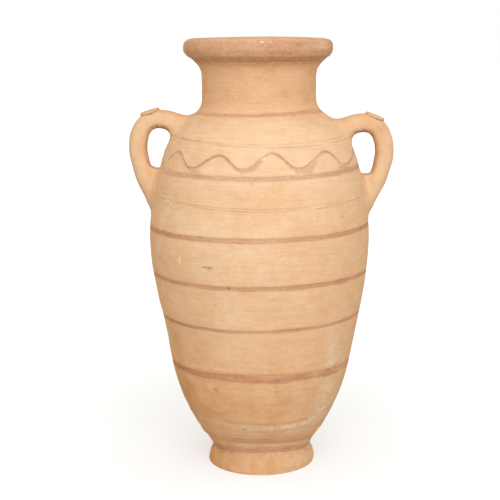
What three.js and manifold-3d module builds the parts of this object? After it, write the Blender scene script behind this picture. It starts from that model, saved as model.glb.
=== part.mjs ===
// A two-handled garden amphora in fired clay, thrown in sections that are luted together.
// Millimetres, +Z up. The origin is the centre of the foot's underside and the handles lie along X.
import * as THREE from 'three';
import { mergeVertices } from 'three/addons/utils/BufferGeometryUtils.js';
import Module from 'manifold-3d';

const wasm = await Module();
wasm.setup();

// Heights of the sections, from the ground up
const FOOT_HEIGHT = 26;
const LOWER_BODY_HEIGHT = 152;
const BELLY_HEIGHT = 224;
const SHOULDER_HEIGHT = 180;
const NECK_HEIGHT = 80;
const RIM_HEIGHT = 38;

// Outer radii of the pot, from the ground up
const FOOT_BASE_RADIUS = 84.5;
const FOOT_RADIUS = 88;
const ANKLE_RADIUS = 79.5;
const LOWER_BODY_RADIUS = 147.3;
const BELLY_RADIUS = 177.5;
const SHOULDER_TURN_RADIUS = 158.8;
const NECK_BASE_RADIUS = 101;
const NECK_RADIUS = 91.5;
const RIM_SEAT_RADIUS = 103.5;
const RIM_RADIUS = 119;
const RIM_CREST_RADIUS = 94;

// Levels inside the sections: each is a rise over the bottom of its own section or below its top
const FOOT_BULGE_RISE = 8;
const FULLEST_RISE = 202;
const SHOULDER_TURN_RISE = 98;
const NECK_FILLET_HEIGHT = 24;
const NECK_FLARE_HEIGHT = 28;
const RIM_BULGE_RISE = 20;
const LIP_DEPTH = 12;

// Slopes of the outer wall, radius gained for each millimetre of height
const ANKLE_SLOPE = 0.72;
const LOWER_BODY_SLOPE = 0.18;
const SHOULDER_TURN_SLOPE = -0.29;
const SHOULDER_TOP_SLOPE = -1.45;
const NECK_BASE_SLOPE = -1.1;
const RIM_SEAT_SLOPE = 1.2;
const RIM_UNDERSIDE_SLOPE = 1.5;

// Clay thickness, and the rebated joints between sections
const WALL = 13;
const FLOOR_THICKNESS = 18;
const FOOT_BORE_RADIUS = 58;
const FOOT_EDGE = 3;
const SPIGOT_HEIGHT = 6;
const TONGUE_HEIGHT = 5;
const FIT_GAP = 0.3;
const LEVEL_TOLERANCE = 0.003;

// Slip bands: rings of coloured clay laid in shallow turned grooves
const GROOVE_DEPTH = 1.2;
const FOOT_BAND_WIDTH = 11;
const LOWER_BAND_WIDTH = 13.5;
const LOW_BELLY_BAND_WIDTH = 8.5;
const MID_BELLY_BAND_WIDTH = 9;
const HIGH_BELLY_BAND_WIDTH = 9.5;
const WAVE_BAND_WIDTH = 8.5;
const NECK_LINE_WIDTH = 4.5;
const RIM_BAND_WIDTH = 9;
const LOW_BELLY_BAND_RISE = 79;
const MID_BELLY_BAND_RISE = 149;
const WAVE_BAND_RISE = 91;
const RIM_BAND_RISE = 14;

// Incised wave on the shoulder
const WAVE_COUNT = 11;
const WAVE_RISE = 115;
const WAVE_AMPLITUDE = 11.5;
const WAVE_GROOVE_WIDTH = 6;
const WAVE_GROOVE_DEPTH = 1.6;
const WAVE_TOOL_CLEARANCE = 0.4;
const WAVE_CREST_ANGLE = THREE.MathUtils.degToRad(8);

// Strap handles: the path of the middle of the strap, measured from the shoulder's wall
const HANDLE_THICKNESS = 29.5;
const HANDLE_WIDTH = 37;
const HANDLE_STANDOFF = 44.5;
const HANDLE_ROOT_DROP = 30;
const HANDLE_WAIST_DROP = 59;
const HANDLE_TAIL_DROP = 163;
const HANDLE_ROOT_DEPTH = 15.5;
const HANDLE_TAIL_DEPTH = 17;
const HANDLE_ROOT_LEAD = new THREE.Vector2(17, 20);
const HANDLE_CREST_LEAD = 69;
const HANDLE_WAIST_LEAD = 29;
const HANDLE_TAIL_LEAD = new THREE.Vector2(7.5, 35);
const HANDLE_ROOT_THICKNESS = 41;
const HANDLE_ROOT_WIDTH = 50;
const HANDLE_CROTCH_THICKNESS = 37;
const HANDLE_CROTCH_WIDTH = 42;
const HANDLE_TAIL_THICKNESS = 30;
const HANDLE_TAIL_WIDTH = 32;
const HANDLE_SQUARENESS = 2.4;
const HANDLE_ROOT_BLEND = 0.5;
const HANDLE_CROTCH_STATION = 0.5;
const HANDLE_TAIL_BLEND = 0.15;
const RIGHT_HANDLE_DROP = 8.5;
const RIGHT_HANDLE_REACH = 3;

// Thumb pads: oval pellets pressed on the handles
const PAD_LENGTH = 29;
const PAD_WIDTH = 27;
const PAD_RISE = 2.6;
const PAD_SKIRT = 8;
const PAD_EDGE = 1.8;
const LEFT_PAD_STATION = 0.58;
const RIGHT_PAD_STATION = 0.61;

// Facets round the turned forms, and steps along each stretch of the wall
const TURNED_FACETS = 40;
const BOWL_STEPS = 4;
const BELLY_STEPS = 5;
const CREST_STEPS = 3;
const SHOULDER_STEPS = 5;
const FILLET_STEPS = 4;
const NECK_STEPS = 1;
const FLARE_STEPS = 4;
const RIM_STEPS = 3;
const INNER_BOWL_STEPS = 4;
const INNER_BELLY_STEPS = 3;
const INNER_SHOULDER_STEPS = 5;
const INNER_NECK_STEPS = 4;
const FOOT_STEPS = 3;
const WAVE_STEPS = 8;
const HANDLE_STEPS = 8;
const HANDLE_SIDES = 12;
const PAD_FACETS = 16;
const PAD_EDGE_STEPS = 2;

// Colours of the fired clay and the slip
const CLAY_COLOUR = 0xe9bc8f;
const SLIP_COLOUR = 0xc9966f;
const CLAY_ROUGHNESS = 0.95;
const SLIP_ROUGHNESS = 0.85;

// Joint levels
const footTop = FOOT_HEIGHT;
const lowerTop = footTop + LOWER_BODY_HEIGHT;
const bellyTop = lowerTop + BELLY_HEIGHT;
const shoulderTop = bellyTop + SHOULDER_HEIGHT;
const neckTop = shoulderTop + NECK_HEIGHT;
const rimTop = neckTop + RIM_HEIGHT;

// The outer wall from the ankle to the rim's widest level, as curved stretches that share their ends
const wallKnots = [
  { level: footTop, radius: ANKLE_RADIUS, leaving: ANKLE_SLOPE, steps: BOWL_STEPS },
  { level: lowerTop, radius: LOWER_BODY_RADIUS, slope: LOWER_BODY_SLOPE, steps: BELLY_STEPS },
  { level: lowerTop + FULLEST_RISE, radius: BELLY_RADIUS, slope: 0, steps: CREST_STEPS },
  {
    level: bellyTop + SHOULDER_TURN_RISE,
    radius: SHOULDER_TURN_RADIUS,
    slope: SHOULDER_TURN_SLOPE,
    steps: SHOULDER_STEPS,
  },
  {
    level: shoulderTop,
    radius: NECK_BASE_RADIUS,
    arriving: SHOULDER_TOP_SLOPE,
    leaving: NECK_BASE_SLOPE,
    steps: FILLET_STEPS,
  },
  { level: shoulderTop + NECK_FILLET_HEIGHT, radius: NECK_RADIUS, slope: 0, steps: NECK_STEPS },
  { level: neckTop - NECK_FLARE_HEIGHT, radius: NECK_RADIUS, slope: 0, steps: FLARE_STEPS },
  {
    level: neckTop,
    radius: RIM_SEAT_RADIUS,
    arriving: RIM_SEAT_SLOPE,
    leaving: RIM_UNDERSIDE_SLOPE,
    steps: RIM_STEPS,
  },
  { level: neckTop + RIM_BULGE_RISE, radius: RIM_RADIUS, slope: 0 },
];

const wallStretches = wallKnots.slice(0, -1).map((low, index) => {
  const high = wallKnots[index + 1];
  const third = (high.level - low.level) / 3;
  const lowSlope = low.leaving ?? low.slope;
  const highSlope = high.arriving ?? high.slope;
  const curve = new THREE.CubicBezierCurve(
    new THREE.Vector2(low.radius, low.level),
    new THREE.Vector2(low.radius + lowSlope * third, low.level + third),
    new THREE.Vector2(high.radius - highSlope * third, high.level - third),
    new THREE.Vector2(high.radius, high.level),
  );
  return { low: low.level, high: high.level, steps: low.steps, curve };
});

function stretchAt(level) {
  return wallStretches.find((stretch) => level <= stretch.high) ?? wallStretches.at(-1);
}

function outerRadius(level) {
  const { low, high, curve } = stretchAt(level);
  return curve.getPoint((level - low) / (high - low)).x;
}

function outerSlope(level) {
  const { low, high, curve } = stretchAt(level);
  const tangent = curve.getTangent(THREE.MathUtils.clamp((level - low) / (high - low), 0, 1));
  return tangent.x / tangent.y;
}

// The inner wall lies one wall thickness inside the outer one, square to it
function innerRadius(level) {
  let low = level - WALL;
  let high = level + WALL;
  while (high - low > LEVEL_TOLERANCE) {
    const middle = (low + high) / 2;
    const slope = outerSlope(middle);
    if (middle + (WALL * slope) / Math.hypot(1, slope) < level) low = middle;
    else high = middle;
  }
  return outerRadius(low) - WALL / Math.hypot(1, outerSlope(low));
}

// Slip bands on the wall, from the ground up
const wallBands = [
  { name: 'slip_band_foot', centre: footTop + FOOT_BAND_WIDTH / 2, width: FOOT_BAND_WIDTH },
  { name: 'slip_band_lower', centre: lowerTop, width: LOWER_BAND_WIDTH },
  { name: 'slip_band_low_belly', centre: lowerTop + LOW_BELLY_BAND_RISE, width: LOW_BELLY_BAND_WIDTH },
  { name: 'slip_band_mid_belly', centre: lowerTop + MID_BELLY_BAND_RISE, width: MID_BELLY_BAND_WIDTH },
  { name: 'slip_band_high_belly', centre: bellyTop, width: HIGH_BELLY_BAND_WIDTH },
  { name: 'slip_band_wave', centre: bellyTop + WAVE_BAND_RISE, width: WAVE_BAND_WIDTH },
  { name: 'slip_line_neck', centre: shoulderTop, width: NECK_LINE_WIDTH },
  { name: 'slip_band_rim', centre: neckTop + RIM_BAND_RISE, width: RIM_BAND_WIDTH },
].map((band) => ({ ...band, low: band.centre - band.width / 2, high: band.centre + band.width / 2 }));

// Levels at which the wall has a ring of corners
const wallLevels = wallStretches.flatMap(({ low, high, steps }) => {
  return Array.from({ length: steps }, (_, step) => low + ((high - low) * step) / steps);
});

function levelsBetween(low, high) {
  return [low, ...wallLevels.filter((level) => level > low && level < high), high];
}

// Outer wall between two levels, going up, with the grooves of the bands that lie in it
function outerWall(low, high) {
  const points = [];
  let reached = low;
  const goUp = (level) => {
    if (level <= reached) return;
    const rings = levelsBetween(reached, level);
    points.push(...rings.map((each) => new THREE.Vector2(outerRadius(each), each)));
    reached = level;
  };
  for (const band of wallBands.filter((each) => each.high > low && each.low < high)) {
    goUp(band.low);
    for (const level of [reached, Math.min(band.high, high)]) {
      points.push(new THREE.Vector2(outerRadius(level) - GROOVE_DEPTH, level));
    }
    reached = Math.min(band.high, high);
  }
  goUp(high);
  return points;
}

function innerWall(high, low, steps) {
  return Array.from({ length: steps + 1 }, (_, step) => {
    const level = high + ((low - high) * step) / steps;
    return new THREE.Vector2(innerRadius(level), level);
  });
}

// Radius of the tongue that stands on a section and laps inside the next one
function tongueRadius(joint) {
  const tip = joint + TONGUE_HEIGHT;
  const inside = Math.max(innerRadius(joint), innerRadius(tip));
  const outside = Math.min(outerRadius(joint), outerRadius(tip));
  return (inside + outside) / 2;
}

// Top of a section, going in from its outer wall, up over the tongue to its inner wall
function jointTop(joint) {
  const radius = tongueRadius(joint);
  return [new THREE.Vector2(radius, joint), new THREE.Vector2(radius, joint + TONGUE_HEIGHT)];
}

// Bottom of a section, going out from its inner wall, over the rebate for the tongue below
function jointBottom(joint) {
  const radius = tongueRadius(joint) + FIT_GAP;
  return [new THREE.Vector2(radius, joint + TONGUE_HEIGHT + FIT_GAP), new THREE.Vector2(radius, joint)];
}

function turned(profile) {
  const closed = profile[0].x === 0 ? profile : [...profile, profile[0]];
  const geometry = new THREE.LatheGeometry(closed, TURNED_FACETS);
  return welded(geometry.rotateX(Math.PI / 2));
}

// One vertex for each corner, without the empty triangles that a turned form has on its axis
function welded(geometry) {
  geometry.deleteAttribute('normal');
  geometry.deleteAttribute('uv');
  const merged = mergeVertices(geometry);
  const corners = merged.getIndex().array;
  const kept = [];
  for (let first = 0; first < corners.length; first += 3) {
    const triangle = corners.slice(first, first + 3);
    if (new Set(triangle).size === 3) kept.push(...triangle);
  }
  merged.setIndex(kept);
  return merged;
}

function toSolid(geometry) {
  const vertProperties = Float32Array.from(geometry.getAttribute('position').array);
  const triVerts = Uint32Array.from(geometry.getIndex().array);
  return new wasm.Manifold(new wasm.Mesh({ numProp: 3, vertProperties, triVerts }));
}

function toGeometry(solid) {
  const mesh = solid.getMesh();
  const geometry = new THREE.BufferGeometry();
  geometry.setAttribute('position', new THREE.BufferAttribute(mesh.vertProperties, mesh.numProp));
  geometry.setIndex(new THREE.BufferAttribute(mesh.triVerts, 1));
  return geometry;
}

// Skin over a row of like rings, closed by flat ends or by joining the last ring to the first
function loft(rings, isLoop) {
  const sides = rings[0].length;
  const positions = rings.flat().flatMap((point) => point.toArray());
  const triangles = [];
  const corner = (ring, side) => (ring % rings.length) * sides + (side % sides);
  const lastRing = isLoop ? rings.length : rings.length - 1;
  for (let ring = 0; ring < lastRing; ring++) {
    for (let side = 0; side < sides; side++) {
      triangles.push(corner(ring, side), corner(ring, side + 1), corner(ring + 1, side + 1));
      triangles.push(corner(ring, side), corner(ring + 1, side + 1), corner(ring + 1, side));
    }
  }
  for (let side = 1; side < sides - 1 && !isLoop; side++) {
    triangles.push(corner(0, 0), corner(0, side + 1), corner(0, side));
    triangles.push(corner(lastRing, 0), corner(lastRing, side), corner(lastRing, side + 1));
  }
  const geometry = new THREE.BufferGeometry();
  geometry.setAttribute('position', new THREE.Float32BufferAttribute(positions, 3));
  geometry.setIndex(triangles);
  return geometry;
}

// Ring that the pot stands on, open underneath
function footRing() {
  const outline = new THREE.Path();
  outline.moveTo(FOOT_BORE_RADIUS, footTop);
  outline.lineTo(FOOT_BORE_RADIUS, FOOT_EDGE);
  outline.lineTo(FOOT_BORE_RADIUS + FOOT_EDGE, 0);
  outline.lineTo(FOOT_BASE_RADIUS, 0);
  outline.quadraticCurveTo(FOOT_RADIUS, 0, FOOT_RADIUS, FOOT_BULGE_RISE);
  outline.quadraticCurveTo(FOOT_RADIUS, (FOOT_BULGE_RISE + footTop) / 2, ANKLE_RADIUS, footTop);
  return turned(outline.getPoints(FOOT_STEPS));
}

// Bowl with the floor, whose spigot centres it in the foot ring
function lowerBody() {
  const floorTop = footTop + FLOOR_THICKNESS;
  const spigotRadius = FOOT_BORE_RADIUS - FIT_GAP;
  return turned([
    new THREE.Vector2(0, footTop - SPIGOT_HEIGHT),
    new THREE.Vector2(spigotRadius, footTop - SPIGOT_HEIGHT),
    new THREE.Vector2(spigotRadius, footTop),
    ...outerWall(footTop, lowerTop),
    ...jointTop(lowerTop),
    ...innerWall(lowerTop + TONGUE_HEIGHT, floorTop + WALL, INNER_BOWL_STEPS),
    new THREE.Vector2(innerRadius(floorTop + WALL) - WALL, floorTop),
    new THREE.Vector2(0, floorTop),
  ]);
}

// Open ring between two joints
function section(low, high, innerSteps) {
  return turned([
    ...outerWall(low, high),
    ...jointTop(high),
    ...innerWall(high + TONGUE_HEIGHT, low + TONGUE_HEIGHT + FIT_GAP, innerSteps),
    ...jointBottom(low),
  ]);
}

// Tool that draws the wave: a blunt point moved round the shoulder, square to the wall
function waveTool() {
  const stepCount = WAVE_COUNT * WAVE_STEPS;
  const meanLevel = bellyTop + WAVE_RISE;
  const pathPoint = (angle) => {
    const level = meanLevel + WAVE_AMPLITUDE * Math.cos(WAVE_COUNT * (angle - WAVE_CREST_ANGLE));
    const radius = outerRadius(level);
    return new THREE.Vector3(radius * Math.sin(angle), -radius * Math.cos(angle), level);
  };
  const rings = Array.from({ length: stepCount }, (_, step) => {
    const stepAngle = (2 * Math.PI) / stepCount;
    const angle = step * stepAngle;
    const point = pathPoint(angle);
    const along = pathPoint(angle + stepAngle / 2).sub(pathPoint(angle - stepAngle / 2)).normalize();
    const outward = new THREE.Vector3(Math.sin(angle), -Math.cos(angle), -outerSlope(point.z));
    outward.normalize();
    const across = new THREE.Vector3().crossVectors(outward, along).normalize();
    const corner = (aside, out) => {
      return point.clone().addScaledVector(across, aside).addScaledVector(outward, out);
    };
    return [
      corner(-WAVE_GROOVE_WIDTH / 2, WAVE_TOOL_CLEARANCE),
      corner(0, -WAVE_GROOVE_DEPTH),
      corner(WAVE_GROOVE_WIDTH / 2, WAVE_TOOL_CLEARANCE),
      corner(0, WAVE_GROOVE_WIDTH),
    ];
  });
  return loft(rings, true);
}

function shoulder() {
  const plain = toSolid(section(bellyTop, shoulderTop, INNER_SHOULDER_STEPS));
  return toGeometry(plain.subtract(toSolid(waveTool())));
}

// Thick rolled rim, seated over the neck's tongue
function rimCollar() {
  const bulge = neckTop + RIM_BULGE_RISE;
  const seatLevel = neckTop + TONGUE_HEIGHT + FIT_GAP;
  const mouthRadius = innerRadius(seatLevel);
  const crown = new THREE.Path();
  crown.moveTo(RIM_RADIUS, bulge);
  const roll = RIM_RADIUS - RIM_CREST_RADIUS;
  crown.absellipse(RIM_CREST_RADIUS, bulge, roll, rimTop - bulge, 0, Math.PI / 2);
  crown.quadraticCurveTo(mouthRadius, rimTop, mouthRadius, rimTop - LIP_DEPTH);
  return turned([
    ...outerWall(neckTop, bulge).slice(0, -1),
    ...crown.getPoints(RIM_STEPS),
    new THREE.Vector2(mouthRadius, seatLevel),
    ...jointBottom(neckTop),
  ]);
}

// Ring of slip that fills a groove flush with the wall
function slipRing(band) {
  const low = band.low + FIT_GAP;
  const high = band.high - FIT_GAP;
  const floor = FIT_GAP - GROOVE_DEPTH;
  return turned([
    new THREE.Vector2(outerRadius(low), low),
    new THREE.Vector2(outerRadius(high), high),
    new THREE.Vector2(outerRadius(high) + floor, high),
    new THREE.Vector2(outerRadius(low) + floor, low),
  ]);
}

// The whole pot without its hollow, grown by the gap that the handles keep to it
function filledPot() {
  const skin = levelsBetween(footTop, neckTop).map((level) => {
    return new THREE.Vector2(outerRadius(level) + FIT_GAP * Math.hypot(1, outerSlope(level)), level);
  });
  return turned([new THREE.Vector2(0, footTop), ...skin, new THREE.Vector2(0, neckTop)]);
}

// Middle of the strap, out from the shoulder over the crest to the waist, and down to the tail
function handlePath({ drop, reach }) {
  const rootLevel = shoulderTop - HANDLE_ROOT_DROP - drop;
  const waistLevel = shoulderTop - HANDLE_WAIST_DROP - drop;
  const tailLevel = shoulderTop - HANDLE_TAIL_DROP - drop;
  const root = new THREE.Vector2(outerRadius(rootLevel) - HANDLE_ROOT_DEPTH, rootLevel);
  const waist = new THREE.Vector2(outerRadius(waistLevel) + HANDLE_STANDOFF + reach, waistLevel);
  const tail = new THREE.Vector2(outerRadius(tailLevel) - HANDLE_TAIL_DEPTH, tailLevel);
  const overWaist = waist.clone().setY(waist.y + HANDLE_CREST_LEAD);
  const underWaist = waist.clone().setY(waist.y - HANDLE_WAIST_LEAD);
  return {
    upper: new THREE.CubicBezierCurve(root, root.clone().add(HANDLE_ROOT_LEAD), overWaist, waist),
    lower: new THREE.CubicBezierCurve(waist, underWaist, tail.clone().add(HANDLE_TAIL_LEAD), tail),
  };
}

// Place and directions at a station of the path: along it, and square to it away from the hole
function stationAt(curve, station) {
  const place = curve.getPoint(station);
  const along = curve.getTangent(station);
  return {
    place: new THREE.Vector3(place.x, 0, place.y),
    along: new THREE.Vector3(along.x, 0, along.y),
    outward: new THREE.Vector3(-along.y, 0, along.x),
  };
}

// Oval section of the strap, square to its path
function strapRing({ place, outward }, thickness, width) {
  const rounded = (value) => Math.sign(value) * Math.abs(value) ** (2 / HANDLE_SQUARENESS);
  return Array.from({ length: HANDLE_SIDES }, (_, side) => {
    const angle = (2 * Math.PI * side) / HANDLE_SIDES;
    const point = place.clone().addScaledVector(outward, (rounded(Math.cos(angle)) * thickness) / 2);
    return point.setY((-rounded(Math.sin(angle)) * width) / 2);
  });
}

// Size of the strap at a station, 0 at the root, 1 at the waist and 2 at the tail
function strapSize(station, root, waist, crotch, tail) {
  const { lerp, smoothstep } = THREE.MathUtils;
  if (station < 1) return lerp(root, waist, smoothstep(station, 0, HANDLE_ROOT_BLEND));
  const below = station - 1;
  const swollen = lerp(waist, crotch, smoothstep(below, HANDLE_TAIL_BLEND, HANDLE_CROTCH_STATION));
  return lerp(swollen, tail, smoothstep(below, HANDLE_CROTCH_STATION, 1));
}

// Whole strap, grown on all sides and not yet cut by the pot
function strap(setting, growth) {
  const { upper, lower } = handlePath(setting);
  const rings = Array.from({ length: 2 * HANDLE_STEPS + 1 }, (_, step) => {
    const station = step / HANDLE_STEPS;
    const thickness = strapSize(
      station,
      HANDLE_ROOT_THICKNESS,
      HANDLE_THICKNESS,
      HANDLE_CROTCH_THICKNESS,
      HANDLE_TAIL_THICKNESS,
    );
    const width = strapSize(
      station,
      HANDLE_ROOT_WIDTH,
      HANDLE_WIDTH,
      HANDLE_CROTCH_WIDTH,
      HANDLE_TAIL_WIDTH,
    );
    const place = station < 1 ? stationAt(upper, station) : stationAt(lower, station - 1);
    return strapRing(place, thickness + 2 * growth, width + 2 * growth);
  });
  return loft(rings, false);
}

function handle(setting) {
  return toGeometry(toSolid(strap(setting, 0)).subtract(toSolid(filledPot())));
}

// Pellet pressed on the strap, whose skirt follows the strap's crown
function thumbPad(setting, station) {
  const { place, along, outward } = stationAt(handlePath(setting).upper, station);
  const top = HANDLE_THICKNESS / 2 + PAD_RISE;
  const bottom = HANDLE_THICKNESS / 2 - PAD_SKIRT;
  const outline = new THREE.Path();
  outline.moveTo(0, bottom);
  outline.lineTo(PAD_LENGTH / 2, bottom);
  outline.lineTo(PAD_LENGTH / 2, top - PAD_EDGE);
  outline.quadraticCurveTo(PAD_LENGTH / 2, top, PAD_LENGTH / 2 - PAD_EDGE, top);
  outline.lineTo(0, top);
  const pellet = new THREE.LatheGeometry(outline.getPoints(PAD_EDGE_STEPS), PAD_FACETS);
  pellet.rotateX(Math.PI / 2);
  pellet.scale(1, PAD_WIDTH / PAD_LENGTH, 1);
  const across = new THREE.Vector3().crossVectors(outward, along);
  pellet.applyMatrix4(new THREE.Matrix4().makeBasis(along, across, outward).setPosition(place));
  return toGeometry(toSolid(welded(pellet)).subtract(toSolid(strap(setting, FIT_GAP))));
}

const amphora = new THREE.Group();

function addPiece(name, geometry, color, roughness) {
  const material = new THREE.MeshStandardMaterial({ color, roughness, metalness: 0 });
  const piece = new THREE.Mesh(geometry, material);
  piece.name = name;
  amphora.add(piece);
  return piece;
}

function addClay(name, geometry) {
  return addPiece(name, geometry, CLAY_COLOUR, CLAY_ROUGHNESS);
}

addClay('foot_ring', footRing());
addClay('lower_body', lowerBody());
addClay('belly', section(lowerTop, bellyTop, INNER_BELLY_STEPS));
addClay('shoulder', shoulder());
addClay('neck', section(shoulderTop, neckTop, INNER_NECK_STEPS));
addClay('rim_collar', rimCollar());

const handleSides = [
  { side: 'left', turn: Math.PI, drop: 0, reach: 0, padStation: LEFT_PAD_STATION },
  {
    side: 'right',
    turn: 0,
    drop: RIGHT_HANDLE_DROP,
    reach: RIGHT_HANDLE_REACH,
    padStation: RIGHT_PAD_STATION,
  },
];
for (const { side, turn, padStation, ...setting } of handleSides) {
  addClay(`handle_${side}`, handle(setting)).rotation.z = turn;
  addClay(`thumb_pad_${side}`, thumbPad(setting, padStation)).rotation.z = turn;
}

for (const band of wallBands) {
  addPiece(band.name, slipRing(band), SLIP_COLOUR, SLIP_ROUGHNESS);
}

export default amphora;
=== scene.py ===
"""Terracotta garden amphora: fine meshes and fired-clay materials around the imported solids.

Lengths are millimetres until a mesh is made. Angles go round the pot from its front, at -Y, towards +X.
Tables give them in degrees and a place on the wall as (degrees, level). A noise is (strength, cell, seed)
and may end with how much longer its cells are round the pot than up. A fade is a pair of levels, from
nothing to all.
"""

import math

import bpy
import numpy as np
from mathutils import Matrix, Vector


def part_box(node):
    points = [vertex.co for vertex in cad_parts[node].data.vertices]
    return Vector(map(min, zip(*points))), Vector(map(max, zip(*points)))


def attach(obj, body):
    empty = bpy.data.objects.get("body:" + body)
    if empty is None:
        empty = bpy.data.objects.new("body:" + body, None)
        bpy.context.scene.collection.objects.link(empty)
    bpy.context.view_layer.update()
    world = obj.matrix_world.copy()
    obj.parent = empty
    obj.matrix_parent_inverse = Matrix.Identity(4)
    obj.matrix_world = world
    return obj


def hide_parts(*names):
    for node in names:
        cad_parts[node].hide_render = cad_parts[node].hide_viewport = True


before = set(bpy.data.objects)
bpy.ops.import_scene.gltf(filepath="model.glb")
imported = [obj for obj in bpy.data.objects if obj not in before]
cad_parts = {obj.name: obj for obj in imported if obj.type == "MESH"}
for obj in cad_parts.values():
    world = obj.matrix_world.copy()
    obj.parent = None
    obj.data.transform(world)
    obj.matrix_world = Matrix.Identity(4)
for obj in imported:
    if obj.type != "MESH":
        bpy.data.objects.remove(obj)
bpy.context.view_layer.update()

MM = 0.001


def node_level(node, end):
    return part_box(node)[end].z / MM


# Joint levels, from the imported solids
FOOT_TOP = node_level("foot_ring", 1)
LOWER_TOP = node_level("belly", 0)
BELLY_TOP = node_level("shoulder", 0)
SHOULDER_TOP = node_level("neck", 0)
NECK_TOP = node_level("rim_collar", 0)
RIM_TOP = node_level("rim_collar", 1)

ANKLE_RADIUS = 79.5
RIM_RADIUS = 119
RIM_BULGE = NECK_TOP + 20
# Outer wall: level, radius, slope arriving from below, slope leaving upwards
WALL_KNOTS = np.array([
    (FOOT_TOP, ANKLE_RADIUS, 0.72, 0.72),
    (LOWER_TOP, 147.3, 0.18, 0.18),
    (LOWER_TOP + 202, 177.5, 0, 0),
    (BELLY_TOP + 98, 158.8, -0.29, -0.29),
    (SHOULDER_TOP, 101, -1.45, -1.1),
    (SHOULDER_TOP + 24, 91.5, 0, 0),
    (NECK_TOP - 28, 91.5, 0, 0),
    (NECK_TOP, 103.5, 1.2, 1.5),
    (RIM_BULGE, RIM_RADIUS, 0, 0),
])
WALL = 13
FLOOR = 18
FLOOR_ROWS = (8, 30)
BOWL_CORNER = 5
TONGUE = 5
FIT_GAP = 0.3
SPIGOT = 6
FOOT_BASE_RADIUS = 87.5
FOOT_RADIUS = 88
FOOT_BULGE = 8
FOOT_TAPER = 1.4
FOOT_LEAN = 1.2
FOOT_BORE = 58
FOOT_BORE_ROW = 14
FOOT_EDGE = 3
FOOT_SEAT = 70
FOOT_TREAD = 72
RIM_CREST_RADIUS = 94
RIM_SQUARENESS = 3.2
RIM_DROOP = 2.2
RIM_LEAN = 0.3
RIM_SWELL = 1.4
LIP_DEPTH = 12
MOUTH_ROWS = (682, 675)
WAIST_LIFT = 10.5
WAIST_REACH = 80
ANKLE_FILL = 3
ANKLE_REACH = 10
THROWN_SLANT = 1.6
THROWN_TURN = 0.7

# Grain of the meshes
COLUMNS = 560
COAT_COLUMNS = 720
ROW = 2.4
FINE_ROW = 0.5
LEAST_ROW = 0.45 * FINE_ROW
INNER_ROW = 7
COAT_ROW = 0.6
COAT_BACK_ROWS = 4
PROFILE_STEPS = 2000
UV_MARGIN = 0.02

NOISE_CELLS = 24
NOISE_RADIUS = 150
PLAIN_FIRING = 0.4


# Numbers

def smooth(low, high, value):
    share = np.clip((value - low) / (high - low), 0, 1)
    return share * share * (3 - 2 * share)


def faded(level, *fades):
    """Share that is left at a level after some fades."""
    share = 1
    for fade in fades:
        share = share * smooth(*fade, level)
    return share


def noise(x, y, z, seed):
    """Smooth lattice noise from -1 to 1."""
    table = np.random.default_rng(seed).uniform(-1, 1, (NOISE_CELLS,) * 3)
    axes = np.broadcast_arrays(x, y, z)
    base = [np.floor(axis).astype(int) for axis in axes]
    share = [smooth(0, 1, axis - low) for axis, low in zip(axes, base)]
    total = 0
    for step in np.ndindex(2, 2, 2):
        weight = 1
        cell = []
        for axis in range(3):
            weight = weight * (share[axis] if step[axis] else 1 - share[axis])
            cell.append((base[axis] + step[axis]) % NOISE_CELLS)
        total = total + weight * table[tuple(cell)]
    return total


def ring_noise(angle, level, turns, cell, seed):
    """Noise round the pot: more turns make shorter streaks, and cell is their height."""
    return noise(turns * np.sin(angle), turns * np.cos(angle), level / cell, seed)


def pot_noise(angle, level, cell, seed, stretch=1.0):
    """Noise on the pot's wall with cells of that size, longer round the pot than up by stretch."""
    return ring_noise(angle, level, NOISE_RADIUS / (cell * stretch), cell, seed)


def mottled(angle, level, *noises):
    return sum(strength * pot_noise(angle, level, *rest) for strength, *rest in noises)


def pressed(angle, mean, spread, cell, seed):
    """How hard a tool was pressed along a line round the pot."""
    return mean + spread * pot_noise(angle, 0, cell, seed)


def turn_between(angle, centre_degrees):
    """Signed turn from a place on the pot, in radians."""
    return (angle - math.radians(centre_degrees) + math.pi) % (2 * math.pi) - math.pi


def angles(columns):
    return np.arange(columns) * 2 * math.pi / columns


ROUND = angles(COLUMNS)


# The wall

def wall(level):
    """Radius and slope of the smooth outer wall."""
    level = np.asarray(level, float)
    index = np.clip(np.searchsorted(WALL_KNOTS[:, 0], level, side="right") - 1, 0, len(WALL_KNOTS) - 2)
    low, high = WALL_KNOTS[index], WALL_KNOTS[index + 1]
    span = high[..., 0] - low[..., 0]
    t = (level - low[..., 0]) / span
    radius = ((2 * t**3 - 3 * t**2 + 1) * low[..., 1] + (t**3 - 2 * t**2 + t) * span * low[..., 3]
              + (3 * t**2 - 2 * t**3) * high[..., 1] + (t**3 - t**2) * span * high[..., 2])
    slope = ((6 * t**2 - 6 * t) * (low[..., 1] - high[..., 1]) / span
             + (3 * t**2 - 4 * t + 1) * low[..., 3] + (3 * t**2 - 2 * t) * high[..., 2])
    return radius, slope


def inner_radius(level):
    """Radius of the inner wall, one wall thickness inside the outer one."""
    outer = np.linspace(FOOT_TOP, RIM_BULGE, PROFILE_STEPS)
    radius, slope = wall(outer)
    root = np.hypot(1, slope)
    inside_level = outer + WALL * slope / root
    order = np.argsort(inside_level)
    return np.interp(level, inside_level[order], (radius - WALL / root)[order])


def thrown_level(angle, level):
    """Level along the slanting rings that the thrower's fingers left."""
    return level + THROWN_SLANT * np.sin(angle + THROWN_TURN)


LINE_TURN = math.radians(60)


def drawn_line(angle, level, tilt, lift):
    """Level of a line drawn by hand: off by tilt and lift where it is LINE_TURN round from the front."""
    side = np.sin(angle) / math.sin(LINE_TURN)
    return level + tilt * side + lift * side**2


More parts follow.
